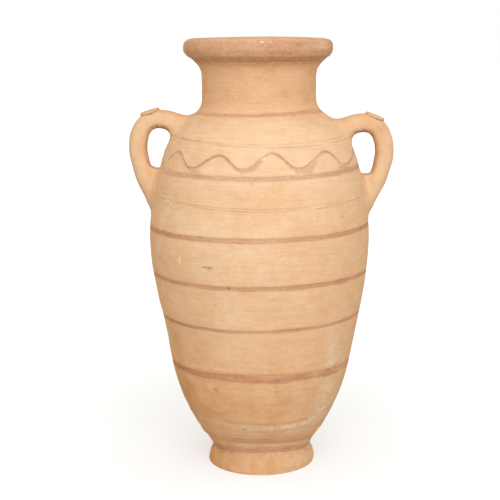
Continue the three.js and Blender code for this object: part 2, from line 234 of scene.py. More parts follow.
# Lines scored in pairs on the shoulder: level, tilt and lift of both, and the least gap between them
UPPER_PAIR = ((541.3, -0.5, 3.8), (536.9, -3, 6), 1.4)
LOWER_PAIR = ((447.6, -1.1, 3.7), (443.4, -1.5, 6.2), 1.6)


def scored_lines(angle):
    """Levels of the scored lines, from the highest to the lowest."""
    found = []
    for high, low, gap in (UPPER_PAIR, LOWER_PAIR):
        line = drawn_line(angle, *high)
        found += [line, np.minimum(drawn_line(angle, *low), line - gap)]
    return found


# Turning points of the wave
WAVE_TURNS = np.array([
    (-56.6, 525.4), (-42, 503.6), (-23.7, 524.8), (-10, 504.2), (7, 528.4), (21.5, 504.6), (42.2, 527.2),
    (56, 503.8), (87, 526), (101, 504), (113.5, 527.5), (127, 504.5), (142, 526), (157.5, 503.5),
    (172.5, 527), (188.5, 505), (205, 525.5), (221, 504), (237.5, 527.5), (253.5, 504.5), (270.5, 526.5),
    (286.5, 503.5),
])
WAVE_MIDDLE = 515.5
SMALL_TURN = 0.002


def wave_level(angle):
    """Level of the incised wave, eased between its turning points."""
    degrees = np.degrees(angle) % 360
    turns = np.concatenate([WAVE_TURNS, WAVE_TURNS + (360, 0)])
    place = (degrees - turns[0, 0]) % 360 + turns[0, 0]
    index = np.clip(np.searchsorted(turns[:, 0], place, side="right") - 1, 0, len(turns) - 2)
    start, end = turns[index], turns[index + 1]
    share = (place - start[..., 0]) / (end[..., 0] - start[..., 0])
    return start[..., 1] + (end[..., 1] - start[..., 1]) * (1 - np.cos(math.pi * share)) / 2


def wave_distance(angle, level):
    """Distance from the wave's line, along the wall."""
    rise = wave_level(angle + SMALL_TURN) - wave_level(angle - SMALL_TURN)
    slant = np.hypot(1, wall(level)[1])
    return (level - wave_level(angle)) * slant / np.hypot(1, rise * slant / (2 * SMALL_TURN * NOISE_RADIUS))


# Slip bands: level, width, tilt and lift of the hand-drawn line, depth of the turned groove
BANDS = {
    "slip_band_foot": (31.5, 11, 0, 0, 0),
    "slip_band_lower": (179.8, 12.6, -0.5, -2.1, 0.35),
    "slip_band_low_belly": (258.2, 5.6, 1.6, 0.6, 0.8),
    "slip_band_mid_belly": (327.4, 7.2, 0.8, 0, 0.7),
    "slip_band_high_belly": (401, 8.2, 1.4, 1, 0.6),
    "slip_band_wave": (491.8, 7.6, 1, 2.6, 0.5),
    "slip_line_neck": (581.9, 5, 1.8, 1.6, 0.4),
    "slip_band_rim": (676, 9, 0, 0, 0),
}
BAND_NUMBER = {name: number for number, name in enumerate(sorted(BANDS))}
BAND_STRAY = (0.5, 40)
BAND_STRAY_SEED = 40
BAND_REACH = 60
BAND_GROOVE = 1.25
# How a band was brushed at degrees round the pot: strength of the slip, share of its width
STROKES = {
    "slip_band_foot": ((-90, 0.5, 1), (0, 0.58, 1.1), (90, 0.48, 1), (180, 0.55, 1)),
    "slip_band_lower": (
        (-66, 1, 0.74), (-48, 1, 0.86), (-27, 1, 1), (-8, 0.82, 1.12), (10, 0.95, 1.12), (22, 0.9, 1),
        (38, 0.8, 1), (52, 0.9, 1.1), (68, 0.9, 1.05), (180, 0.8, 1),
    ),
    "slip_band_low_belly": (
        (-60, 0.95, 1), (-30, 0.85, 1), (0, 0.75, 0.9), (8, 0.85, 1.1), (30, 0.72, 0.9), (60, 0.95, 1),
        (180, 0.8, 1),
    ),
    "slip_band_mid_belly": (
        (-66, 1, 0.9), (-40, 0.9, 1), (-16, 0.66, 1), (2, 0.74, 1.02), (12, 0.98, 1), (24, 0.96, 1),
        (44, 1, 1), (66, 0.8, 0.9), (180, 0.75, 1),
    ),
    "slip_band_high_belly": (
        (-66, 1, 0.95), (-48, 1, 0.95), (-25, 0.86, 0.97), (0, 0.72, 1), (30, 0.76, 0.97), (55, 1, 0.9),
        (75, 0.9, 0.8), (180, 0.75, 1),
    ),
    "slip_band_wave": (
        (-76, 0.25, 1.3), (-60, 0.5, 1.1), (-48, 0.78, 1), (-25, 0.8, 1), (0, 0.66, 1), (30, 0.7, 1),
        (60, 0.95, 1), (80, 0.9, 1), (180, 0.7, 1),
    ),
    "slip_line_neck": (
        (-80, 0.3, 0.9), (-50, 0.52, 0.9), (0, 0.66, 1), (40, 0.66, 1), (80, 0.5, 0.9), (180, 0.55, 1),
    ),
    "slip_band_rim": ((0, 0.7, 1), (180, 0.7, 1)),
}


def stroke(name, angle):
    """Strength and share of the width of a band round the pot."""
    degrees, strength, share = np.array(STROKES[name]).T
    here = np.degrees(angle)
    return np.interp(here, degrees, strength, period=360), np.interp(here, degrees, share, period=360)


def band_distance(name, angle, level):
    """Distance from the middle of a band, as a share of its half width."""
    centre, width, tilt, lift, _ = BANDS[name]
    line = drawn_line(angle, centre, tilt, lift)
    line = line + mottled(angle, 0, (*BAND_STRAY, BAND_STRAY_SEED + BAND_NUMBER[name]))
    return (level - line) / (stroke(name, angle)[1] * width / 2)


def settle(angle, level):
    """How far the joint over the foot was drawn up at the front."""
    front = np.clip(np.cos(angle), 0, 1) ** 2
    return WAIST_LIFT * front * faded(level, (FOOT_BULGE, FOOT_TOP), (FOOT_TOP + WAIST_REACH, FOOT_TOP))


def ankle_fill(angle, level):
    """Clay smoothed into the corner over the foot, at the front."""
    front = np.clip(np.cos(angle), 0, 1)
    return ANKLE_FILL * front * np.clip(1 - np.abs(level - FOOT_TOP) / ANKLE_REACH, 0, 1) ** 2


def groove(distance, half_width, depth):
    share = np.clip(np.abs(distance) / half_width, 0, 1)
    return -depth * (1 - share**2) ** 2


def spot(angle, level, place, half_width, half_height):
    """Soft patch round a place on the wall, given in degrees and millimetres."""
    across = turn_between(angle, place[0]) * wall(np.clip(level, FOOT_TOP, RIM_BULGE))[0] / half_width
    up = (level - place[1]) / half_height
    return np.exp(-(across**2 + up**2))


# Where the hand that luted the left handle on rubbed over the wave, and how much of the wave it closed
RUBBED = ((-76, 503), 24, 20)
RUBBED_STRENGTH = 1.3
RUBBED_SHARE = 0.85


def wave_left(angle, level):
    """Share of the wave that is still open."""
    return 1 - RUBBED_SHARE * np.clip(RUBBED_STRENGTH * spot(angle, level, *RUBBED), 0, 1)


# Relief of the wall. Rings are share of the depth, turns, cell and seed
DRIFT = ((0.7, 120, 1), (0.22, 42, 2))
RINGS = ((1, 0.6, 6.5, 3), (0.5, 1.4, 3.1, 4))
RING_DEPTH = 0.1
LOW_RING_DEPTH = 0.8
LOW_RINGS = (150, 60)
NECK_RING_DEPTH = 0.16
NECK_RINGS = ((SHOULDER_TOP, SHOULDER_TOP + 20), (NECK_TOP, NECK_TOP - 16))
# The scored lines and the wave lie between these levels
LINES_FROM = 425
LINES_TO = 566
# Scored lines: depth, seeds of the cut and of its stain; mean, spread and cell of the tool's pressure
SCORED = ((0.9, 11, 31), (0.65, 12, 38), (0.75, 13, 39), (0.55, 14, 29))
SCORED_PRESS = (0.8, 0.45, 26)
SCORED_HALF = 1.3
# Clay pushed up beside a cut: distance, half width, height or share of the depth
SCORED_BURR = (2, 1.4, 0.4)
WAVE_PRESS = (1.25, 0.3, 20, 15)
WAVE_HALF = 2.2
WAVE_BURRS = ((3, 1.6, 0.35), (-3, 1.6, 0.15))
# Grooves under the rim and over the foot: level, half width, depth
TURNED_GROOVES = ((NECK_TOP + 3, 5, 1), (42, 24, 2))
RIM_SWELL_FADE = (NECK_TOP + 2, RIM_BULGE)
# Nicks and dents: place, half width, half height, depth
NICKS = (
    ((84, 614), 7, 4, 1.3), ((-70, 672), 5, 3, 0.8), ((-46, 365), 3, 5, 0.6), ((-85, 368), 170, 52, -1.4),
    ((-85, 236), 160, 34, 1.3),
)
NICK_EDGE = (0.1, 0.8)
# Chips on the rim: place and how pale they are
RIM_CHIPS = (
    ((-7.4, 692), 0.7), ((-3.6, 692), 0.5), ((2, 692), 1.7), ((8, 692), 1.3), ((152, 691), 1.4),
    ((160, 690), 0.8),
)
CHIP_DEPTH = 0.9
CHIP_HOLLOW = (4.2, 2.2)
CHIP_HOLLOW_EDGE = (0.2, 0.75)
CHIP_FACE = (3.2, 1.4)
CHIP_FACE_EDGE = (0.15, 0.8)


def relief(angle, level):
    """How far the hand-thrown outer wall stands out from the smooth one."""
    out = mottled(angle, level, *DRIFT)
    ring_depth = RING_DEPTH + LOW_RING_DEPTH * faded(level, LOW_RINGS)
    ring_depth = ring_depth + NECK_RING_DEPTH * faded(level, *NECK_RINGS)
    for share, *ring in RINGS:
        out = out + share * ring_depth * ring_noise(angle, thrown_level(angle, level), *ring)
    if np.any((level > LINES_FROM) & (level < LINES_TO)):
        offset, half, share = SCORED_BURR
        for line, (depth, seed, _) in zip(scored_lines(angle), SCORED):
            away = level - line
            cut = groove(away, SCORED_HALF, depth) - groove(away + offset, half, share * depth)
            out = out + pressed(angle, *SCORED_PRESS, seed) * cut
        away = wave_distance(angle, level)
        out = out + groove(away, WAVE_HALF, 1) * pressed(angle, *WAVE_PRESS) * wave_left(angle, level)
        for offset, half, height in WAVE_BURRS:
            out = out - groove(away + offset, half, height)
    for name, (centre, *_, depth) in BANDS.items():
        if depth and np.any(np.abs(level - centre) < BAND_REACH):
            out = out + groove(band_distance(name, angle, level), BAND_GROOVE, depth)
    for centre, half, depth in TURNED_GROOVES:
        out = out + groove(level - centre, half, depth)
    out = out + ankle_fill(angle, level) - RIM_SWELL * np.sin(angle) ** 5 * faded(level, RIM_SWELL_FADE)
    for *patch, depth in NICKS:
        out = out - depth * smooth(*NICK_EDGE, spot(angle, level, *patch))
    for place, _ in RIM_CHIPS:
        out = out - CHIP_DEPTH * smooth(*CHIP_HOLLOW_EDGE, spot(angle, level, place, *CHIP_HOLLOW))
    return out


# Marks left on the clay: slip stain, lime bloom, grime, and painted shade put into them

# Brush strokes between the wave and its band: start, half width there, end, half width there, strength
SMEARS = (
    ((-42, 503), 4, (-38, 496.5), 8, 0.4),
    ((-5, 505.5), 3.6, (0.6, 517), 2.2, 0.62),
    ((-10, 503), 4, (-6, 505), 4, 0.5),
    ((20.5, 502.5), 4, (28, 500.5), 4.4, 0.54),
    ((27.5, 501), 4.4, (32.4, 513), 2.6, 0.52),
    ((50.5, 502.2), 2.6, (59, 500.2), 3.4, 0.6),
    ((127, 505), 3.2, (131, 514), 2.6, 0.6),
    ((188, 505), 3.4, (189.5, 496), 5.5, 0.6),
    ((221, 504), 3, (227, 517), 2.6, 0.6),
    ((287, 504), 3.4, (288, 496), 5, 0.6),
)
SMEAR_RADIUS = 155
SMEAR_RAGGED = ((1, 7, 21), (0.5, 3, 22))
SMEAR_EDGE = (3, -2.6)


def smear(angle, level):
    """Slip brushed between the wave and its band."""
    total = np.zeros(np.broadcast(angle, level).shape)
    ragged = mottled(angle, level, *SMEAR_RAGGED)
    for start, start_half, end, end_half, strength in SMEARS:
        along = math.radians(end[0] - start[0]) * SMEAR_RADIUS
        rise = end[1] - start[1]
        across = turn_between(angle, start[0]) * SMEAR_RADIUS
        up = level - start[1]
        share = np.clip((across * along + up * rise) / (along**2 + rise**2), 0, 1)
        away = np.hypot(across - share * along, up - share * rise)
        half = start_half + share * (end_half - start_half)
        total = np.maximum(total, strength * smooth(*SMEAR_EDGE, away + ragged - half))
    return total


# Patches: place, half width, half height, strength
LIME_SPOTS = (
    ((-55.6, 447), 13, 7.5, 1.2), ((-57, 435), 14, 13, 0.55), ((-60, 420), 10, 15, 0.45),
    ((-63.5, 382), 7, 10, 1.2), ((-62, 370), 6, 8, 0.7), ((-44.3, 364), 1.8, 5, 2.4),
    ((-64, 309), 8, 7, 0.6), ((42, 250), 16, 16, 0.3), ((42.6, 236), 12, 16, 0.4),
    ((46, 217), 16, 20, 0.62), ((54, 202), 14, 14, 0.45), ((48, 193), 14, 10, 0.9),
    ((61, 176), 18, 16, 0.5), ((50, 150), 18, 20, 0.65), ((46, 128), 18, 18, 0.75),
    ((58, 122), 18, 20, 0.5), ((51, 106), 14, 10, 1), ((42, 97), 10, 5, 1.2), ((35, 89.5), 12, 4.5, 1.4),
    ((22.6, 88.2), 17, 4, 1.5), ((7, 89.5), 15, 3, 1.1), ((26, 76), 18, 10, 0.5), ((44, 82), 18, 10, 0.5),
    ((66, 676), 10, 6, 0.4), ((58, 685), 28, 10, 0.6), ((-6, 352), 3, 4, 0.4), ((1.8, 521), 2.6, 3.2, 1.6),
    ((118, 300), 20, 34, 0.35), ((205, 120), 26, 18, 0.4), ((160, 430), 16, 20, 0.3),
    ((240, 240), 14, 26, 0.35), ((225, 90), 20, 3, 0.6),
)
GRIME_SPOTS = (
    ((-55.6, 447), 13, 7.5, 0.26), ((-63.5, 382), 7, 10, 0.22), ((-62, 366), 7, 12, 0.25),
    ((-27, 357.5), 8.5, 1.4, 1.5), ((-31.8, 582), 2.2, 1.6, 0.4), ((31.7, 581), 2.2, 1.6, 0.4),
    ((30.5, 687.5), 8, 2.2, 0.55), ((-24, 300), 3, 2.2, 0.4), ((-16.6, 327.3), 2.6, 2, 0.85),
    ((-4.6, 484.5), 3.4, 1.6, 0.5), ((46, 430), 4, 4, 0.3), ((6, 310), 3, 2, 0.4),
    ((9.6, 157), 5, 2.2, 0.5), ((-29.9, 157.3), 4, 3, 0.45), ((-13.2, 86), 4, 2.4, 0.5),
    ((45, 326), 5, 2.4, 0.5), ((52, 184), 4, 4, 0.5), ((60, 179), 8, 3, 0.5), ((47.4, 181.5), 3, 3, 0.5),
    ((-58.5, 403), 4, 2.2, 0.55), ((-55, 84), 6, 3, 0.45), ((96, 370), 6, 1.4, 0.6),
    ((150, 520), 4, 2, 0.5), ((210, 330), 5, 2.4, 0.5), ((178, 150), 7, 2, 0.4),
)
# Patches fired deeper or paler than the clay round them
FIRED_SPOTS = (
    ((-36, 224), 20, 20, 0.22), ((-60, 240), 18, 60, 0.15), ((-16, 290), 34, 26, -0.16),
    ((36, 290), 40, 24, 0.08), ((0, 230), 50, 16, 0.06), ((140, 260), 60, 60, 0.15),
    ((220, 380), 60, 40, 0.12), ((20, 440), 60, 14, -0.1), ((0, 380), 60, 20, -0.06),
    ((-25, 416), 44, 26, -0.18), ((2, 418), 40, 18, -0.12), ((-26, 350), 34, 36, -0.12),
    ((-14, 236), 30, 20, -0.12), ((-46, 425), 40, 30, -0.14), ((-30, 228), 26, 20, -0.08),
)
MEAN_FIRING = 0.3
LOW_PART = (300, 90)
# Stretches fired deeper or paler, some of them painted shade: change all round, more on the left, more on the
# right, fades
FIRED_AND_SHADED_STRETCHES = (
    (0.37, 0, -0.22, LOW_PART),
    # Painted shade on the neck under the rim
    (0.16, 0, 0, (SHOULDER_TOP - 8, SHOULDER_TOP + 25), (RIM_BULGE - 4, NECK_TOP)),
    (-0.16, 0, 0, (455, 500), (590, 560)),
    # Painted shade on the left side
    (0, 0.08, 0, (470, 380)),
    (-0.14, 0, 0, (FOOT_TOP + 14, FOOT_TOP - 2)),
    (-0.16, 0, -0.12, (125, 85), (FOOT_TOP, FOOT_TOP + 18)),
)
FIRED_MOTTLE = ((0.07, 75, 35), (0.05, 24, 36))
FINE_MOTTLE = (8, 30, 2.6)
FINE_MOTTLE_SHARE = 0.03
LOW_MOTTLE_SHARE = 0.09


def firing(angle, level):
    """How deep the clay was fired, from 0 for pale to 1 for deep orange, with painted shade on the neck and
    the left side added as deeper firing.
    """
    left, right = np.clip(-np.sin(angle), 0, 1) ** 2, np.clip(np.sin(angle), 0, 1) ** 2
    deep = MEAN_FIRING + mottled(angle, level, *FIRED_MOTTLE)
    for all_round, on_left, on_right, *fades in FIRED_AND_SHADED_STRETCHES:
        deep = deep + (all_round + on_left * left + on_right * right) * faded(level, *fades)
    fine_share = FINE_MOTTLE_SHARE + LOW_MOTTLE_SHARE * faded(level, LOW_PART)
    deep = deep + fine_share * pot_noise(angle, level, *FINE_MOTTLE)
    for *patch, change in FIRED_SPOTS:
        deep = deep + change * spot(angle, level, *patch)
    return np.clip(deep, 0, 1)


def strongest(*layers):
    return np.maximum.reduce(np.broadcast_arrays(*layers))


def spotted(angle, level, spots):
    return strongest(*(strength * spot(angle, level, *patch) for *patch, strength in spots))


# Stain and grime in the wave, in the scored lines and beside the bands, and distances that they soak over;
# the wave's grime and the scored lines' stain and grime are partly painted shade in the cuts
WAVE_STAIN = 0.65
WAVE_GRIME_AND_SHADE = 0.24
WAVE_SOAK = (3.3, 1.1)
WAVE_STAIN_PRESS = (0.85, 0.4, 22, 37)
SCORED_STAIN_AND_SHADE = 0.24
SCORED_GRIME_AND_SHADE = 0.22
SCORED_SOAK = (1.3, 0.3)
SCORED_STAIN_PRESS = (0.7, 0.6, 26)
# Under this level the scored lines fade towards the handles, over these shares of the pot's half width
FADED_LINES_TOP = 470
FADED_LINES = (0.97, 0.9)
HALO_STAIN = 0.4
HALO_SOAK = (1.8, 0.8)
# The rim's wash of slip, worn off towards its crown
WASH_FADE = (NECK_TOP + 9, NECK_TOP + 14)
WASH_EDGE = (1.2, 12, 32)
WORN_FADE = (RIM_TOP - 7, RIM_TOP - 4.5)
WORN_EDGE = (0.8, 10, 33)
WORN_SHARE = 0.4
WASH_STAIN = 0.92
WASH_BLOTCHES = ((0.16, 16, 34, 2), (0.14, 4, 27, 2.6))
WASH_GRAIN = (0.12, 2.4, 28)
WASH_LIME = 0.13
WASH_LIME_BLOTCHES = -0.25
# Rings over the foot: turns, cell and seed, stain in the hollows and lime on the ridges
FOOT_RINGS = (0.9, 5.2, 26)
FOOT_RINGS_FADES = ((118, 96), (FOOT_TOP, FOOT_TOP + 10))
FOOT_RINGS_STAIN = 0.7
FOOT_RINGS_LIME = -0.4
# Painted shade on the neck under the rim's overhang, more on its left side, put into the stain
NECK_FADES = ((SHOULDER_TOP, SHOULDER_TOP + 18), (NECK_TOP + 2, NECK_TOP - 4))
NECK_SHADE = 0.14
NECK_LEFT_SHADE = 0.08
# Painted shade under the rim, put into the stain and the grime: strength, level, distances that it fades over
UNDER_RIM_SHADE_STAIN = (0.75, NECK_TOP + 2.5, (16, 1))
UNDER_RIM_SHADE_GRIME = (0.26, NECK_TOP + 5, (12, 4))


def around_level(level, strength, centre, soak):
    return strength * smooth(*soak, np.abs(level - centre))


def marks(angle, level):
    """Stain, lime and grime on the outer wall and how deep it was fired, each from 0 to 1, with painted shade
    under the rim, on the neck and partly in the cuts put into them.
    """
    stain_and_shade, lime, grime_and_shade = np.zeros((3, *np.broadcast(angle, level).shape))
    on_shoulder = (level > LINES_FROM) & (level < LINES_TO)
    if np.any(on_shoulder):
        line = on_shoulder * pressed(angle, *WAVE_STAIN_PRESS) * wave_left(angle, level)
        line = line * smooth(*WAVE_SOAK, np.abs(wave_distance(angle, level)))
        stain_and_shade = strongest(WAVE_STAIN * line, on_shoulder * smear(angle, level))
        # The wave's grime is partly painted shade in the cut
        grime_and_shade = WAVE_GRIME_AND_SHADE * line
        beside_handles = smooth(*FADED_LINES, np.abs(np.sin(angle)))
        lasting = on_shoulder * np.where(level < FADED_LINES_TOP, beside_handles, 1)
        # The scored lines' stain and grime are partly painted shade in the cuts
        for scored, (_, _, seed) in zip(scored_lines(angle), SCORED):
            line = lasting * pressed(angle, *SCORED_STAIN_PRESS, seed)
            line = line * around_level(level, 1, scored, SCORED_SOAK)
            stain_and_shade = strongest(stain_and_shade, SCORED_STAIN_AND_SHADE * line)
            grime_and_shade = strongest(grime_and_shade, SCORED_GRIME_AND_SHADE * line)
    for name in BANDS:
        if name != "slip_band_rim":
            halo = smooth(*HALO_SOAK, np.abs(band_distance(name, angle, level)))
            stain_and_shade = strongest(stain_and_shade, HALO_STAIN * stroke(name, angle)[0] * halo)
    rim = smooth(*WASH_FADE, level + mottled(angle, level, WASH_EDGE))
    rim = rim * (1 - WORN_SHARE * smooth(*WORN_FADE, level + mottled(angle, level, WORN_EDGE)))
    blotch = mottled(angle, level, *WASH_BLOTCHES)
    wash = rim * np.clip(WASH_STAIN + blotch + mottled(angle, level, WASH_GRAIN), 0, 1)
    ring = ring_noise(angle, thrown_level(angle, level), *FOOT_RINGS) * faded(level, *FOOT_RINGS_FADES)
    # Painted shade on the neck
    on_neck = (NECK_SHADE + NECK_LEFT_SHADE * np.clip(-np.sin(angle), 0, 1)) * faded(level, *NECK_FADES)
    chips = [pale * smooth(*CHIP_FACE_EDGE, spot(angle, level, place, *CHIP_FACE))
             for place, pale in RIM_CHIPS]
    # The neck's term and the terms under the rim are painted shade
    stain_and_shade = strongest(stain_and_shade, wash, FOOT_RINGS_STAIN * ring, on_neck, around_level(level, *UNDER_RIM_SHADE_STAIN))
    lime = strongest(lime, rim * (WASH_LIME + WASH_LIME_BLOTCHES * blotch), FOOT_RINGS_LIME * ring,
                     spotted(angle, level, LIME_SPOTS), *chips)
    grime_and_shade = strongest(grime_and_shade, around_level(level, *UNDER_RIM_SHADE_GRIME), spotted(angle, level, GRIME_SPOTS))
    return np.stack([stain_and_shade, lime, grime_and_shade, firing(angle, level)], axis=-1)


def plain_marks(shape):
    """Marks of clay that nothing was put on."""
    found = np.zeros(shape + (4,))
    found[..., 3] = PLAIN_FIRING
    return found


# Meshes

def add_object(name, data):
    made = bpy.data.objects.new(name, data)
    bpy.context.scene.collection.objects.link(made)
    return made


def make_piece(node, slot, points, faces, mark, uv=None, pulled=None):
    """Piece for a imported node; marks and the share of its clay that was pulled by hand go on its points."""
    mesh = bpy.data.meshes.new("amphora_" + node)
    mesh.vertices.add(len(points))
    mesh.vertices.foreach_set("co", (np.asarray(points, float) * MM).ravel())
    sizes = np.array([len(face) for face in faces])
    corners = np.concatenate([np.asarray(face) for face in faces])
    mesh.loops.add(len(corners))
    mesh.loops.foreach_set("vertex_index", corners)
    mesh.polygons.add(len(sizes))
    mesh.polygons.foreach_set("loop_start", np.concatenate([[0], np.cumsum(sizes)[:-1]]))
    mesh.polygons.foreach_set("use_smooth", np.ones(len(sizes), bool))
    mesh.update(calc_edges=True)
    mesh.validate()
    if uv is not None:
        mesh.uv_layers.new(name="OFBake").data.foreach_set("uv", np.asarray(uv, float).ravel())
    colour = mesh.attributes.new("marks", "FLOAT_COLOR", "POINT")
    colour.data.foreach_set("color", np.asarray(mark, np.float32).ravel())
    if pulled is not None:
        share = mesh.attributes.new("pulled", "FLOAT", "POINT")
        share.data.foreach_set("value", np.asarray(pulled, np.float32))
    mesh.materials.append(MATERIALS[slot])
    piece = add_object("amphora_" + node, mesh)
    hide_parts(node)
    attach(piece, "root")


def grid_piece(node, slot, points, mark, is_loop, poles=(), is_pulled=False):
    """Skin over rows of points, each a closed ring; it is closed by joining its ends or by two poles."""
    rows, columns = points.shape[:2]
    lengths = np.linalg.norm(np.diff(points, axis=0), axis=2).mean(1)
    back = np.linalg.norm(points[0] - points[-1], axis=1).mean() if is_loop else 0
    place = np.concatenate([[0], np.cumsum(lengths), [lengths.sum() + back]])
    place = UV_MARGIN + (1 - 2 * UV_MARGIN) * place / place[-1]
    row = np.arange(rows if is_loop else rows - 1)[:, None, None] + (0, 0, 1, 1)
    column = np.arange(columns)[None, :, None] + (0, 1, 1, 0)
    faces = list((row % rows * columns + column % columns).reshape(-1, 4))
    uv = [np.stack(np.broadcast_arrays(column / columns, place[row]), axis=-1).reshape(-1, 2)]
    co = points.reshape(-1, 3)
    mark = mark.reshape(-1, 4)
    for end, pole in enumerate(poles):
        column = np.arange(columns)[:, None] + ((0, 1) if end else (1, 0))
        ring = end * (rows - 1) * columns + column % columns
        faces += list(np.hstack([ring, np.full((columns, 1), len(co))]))
        co = np.vstack([co, pole])
        mark = np.vstack([mark, plain_marks((1,))])
        across = np.hstack([column, np.arange(columns)[:, None] + 0.5]) / columns
        edge = 1 - UV_MARGIN if end else UV_MARGIN
        uv.append(np.stack(np.broadcast_arrays(across, (edge, edge, end)), axis=-1).reshape(-1, 2))
    make_piece(node, slot, co, faces, mark, np.vstack(uv), np.ones(len(co)) if is_pulled else None)


def levels(low, high, fine=()):
    """Levels from low to high, closer together round the places given as (level, reach)."""
    found = [low, high, *np.linspace(low, high, max(2, int((high - low) / ROW) + 1))]
    for centre, reach in fine:
        found += list(np.arange(centre - reach, centre + reach, FINE_ROW))
    found = np.unique(np.round([level for level in found if low <= level <= high], 4))
    kept = [found[0]]
    for level in found[1:-1]:
        if level - kept[-1] > LEAST_ROW and high - level > LEAST_ROW:
            kept.append(level)
    return np.array(kept + [high])


# Levels of the shoulder whose rows are not bent, and where rows are close together
STRAIGHT_ROWS = (BELLY_TOP, 430, 466, 497, 566, SHOULDER_TOP)
SHOULDER_FINE = ((445.5, 5), (WAVE_MIDDLE, 5), (539, 5))


def bent_levels(rows):
    """Rows of levels that follow the hand-drawn lines of the shoulder."""
    drawn = [line[0] for pair in (UPPER_PAIR, LOWER_PAIR) for line in pair[:2]]
    anchors = list(zip(drawn, scored_lines(ROUND))) + [(WAVE_MIDDLE, wave_level(ROUND))]
    anchors = sorted(anchors + [(row, row) for row in STRAIGHT_ROWS], key=lambda anchor: anchor[0])
    places = np.array([place for place, _ in anchors], float)
    shifts = np.stack([np.broadcast_to(line - place, COLUMNS) for place, line in anchors])
    index = np.clip(np.searchsorted(places, rows, side="right") - 1, 0, len(places) - 2)
    share = ((rows - places[index]) / (places[index + 1] - places[index]))[:, None]
    return rows[:, None] + shifts[index] * (1 - share) + shifts[index + 1] * share


def outer_skin(level):
    """Radius, level and marks of the outer wall on a grid of levels."""
    angle = np.broadcast_to(ROUND, level.shape)
    radius, slope = wall(level)
    out = relief(angle, level)
    root = np.hypot(1, slope)
    return radius + out / root, level - out * slope / root + settle(angle, level), marks(angle, level)


INNER_RINGS = (0.4, 9, 61)
INNER_RING_DEPTH = 0.5


def inner_skin(high, low):
    rows = np.linspace(high, low, max(3, int((high - low) / INNER_ROW)))[:, None]
    radius = inner_radius(rows) + INNER_RING_DEPTH * ring_noise(ROUND, rows, *INNER_RINGS)
    radius[[0, -1]] = inner_radius(rows[[0, -1]])
    return radius, np.broadcast_to(rows, radius.shape)


def plain_rows(profile):
    profile = np.asarray(profile, float)
    return tuple(np.repeat(profile[:, [part]], COLUMNS, axis=1) for part in range(2))


def tongue_radius(joint):
    inside = max(inner_radius(joint), inner_radius(joint + TONGUE))
    outside = min(wall(joint)[0], wall(joint + TONGUE)[0])
    return (inside + outside) / 2


def joint_top(joint):
    radius = tongue_radius(joint)
    return [(radius, joint), (radius, joint + TONGUE)]


def joint_bottom(joint):
    radius = tongue_radius(joint) + FIT_GAP
    return [(radius, joint + TONGUE + FIT_GAP), (radius, joint)]


def turned_piece(node, slot, stretches, poles=()):
    """Piece of the pot from stretches of its profile: grids of radius and level, and marks if it has any."""
    radius, level = (np.vstack([stretch[part] for stretch in stretches]) for part in range(2))
    mark = np.concatenate([mine[0] if mine else plain_marks(grid.shape) for grid, _, *mine in stretches])
    angle = angles(radius.shape[1])
    points = np.stack([radius * np.sin(angle), -radius * np.cos(angle), level], axis=-1)
    grid_piece(node, slot, points, mark, not poles, poles)


# Materials

def linear(red, green, blue):
    """Colour as the eye sees it, 0 to 255, as the linear values a shader takes."""
    shares = [value / 255 for value in (red, green, blue)]
    return tuple(s / 12.92 if s <= 0.04045 else ((s + 0.055) / 1.055) ** 2.4 for s in shares) + (1.0,)


CLAY = linear(243, 201, 159)
CLAY_PALE = linear(250, 216, 179)
CLAY_ORANGE = linear(225, 165, 110)
SLIP_TINT = (0.72, 0.575, 0.57, 1)
LIME = linear(255, 232, 203)
GRIME_AND_SHADE = linear(120, 88, 62)
SPECK = linear(172, 122, 84)

# Noises in the clay: scale, detail, roughness
MOTTLE = (48, 6, 0.65)
STREAKS = ((18, 18, 200), 4, 0.6)
COMBED = ((56, 56, 420), 4, 0.7)
GRAIN = (560, 4, 0.75)
# Noises with how they are read: from low and high, to low and high
PATCHES = ((16, 4, 0.6), 0.3, 0.7, -0.05, 0.05)
BRUSHED = (((14, 14, 190), 3, 0.6), 0.2, 0.6, 0.72, 1)
SOAKED = ((220, 4, 0.65), 0.3, 0.7, 0.82, 1.14)
CRUST = ((170, 5, 0.75), 0.38, 0.60, 0.22, 1)
SMUDGE = ((140, 4, 0.7), 0.32, 0.6)
PITS = ((260, 3, 0.5), 0.30, 0.22)
MIDDLE = (0.3, 0.7)
MOTTLE_FIRING = 0.09
PALE_TO_CLAY = (0, 0.4)
CLAY_TO_ORANGE = (0.3, 1)
BROAD = (0.25, 0.75)
STREAK_LIGHT = 0.4
GRAIN_TONE = (0.90, 1.08)
# Grains of sand and lime: scale, channel that is drawn from, edge distances, share of cells and strength
SPECKS = (240, 0, (0.26, 0.12), (0.955, 0.985, 0, 0.4))
FLECKS = (150, 1, (0.30, 0.10), (0.93, 0.99, 0, 0.5))
STREAK_HEIGHT = 0.7
GRAIN_HEIGHT = 0.35
PIT_DEPTH = 0.8
BUMP_STRENGTH = 0.55
BUMP_METRES = 0.0005
SPECULAR = 0.18


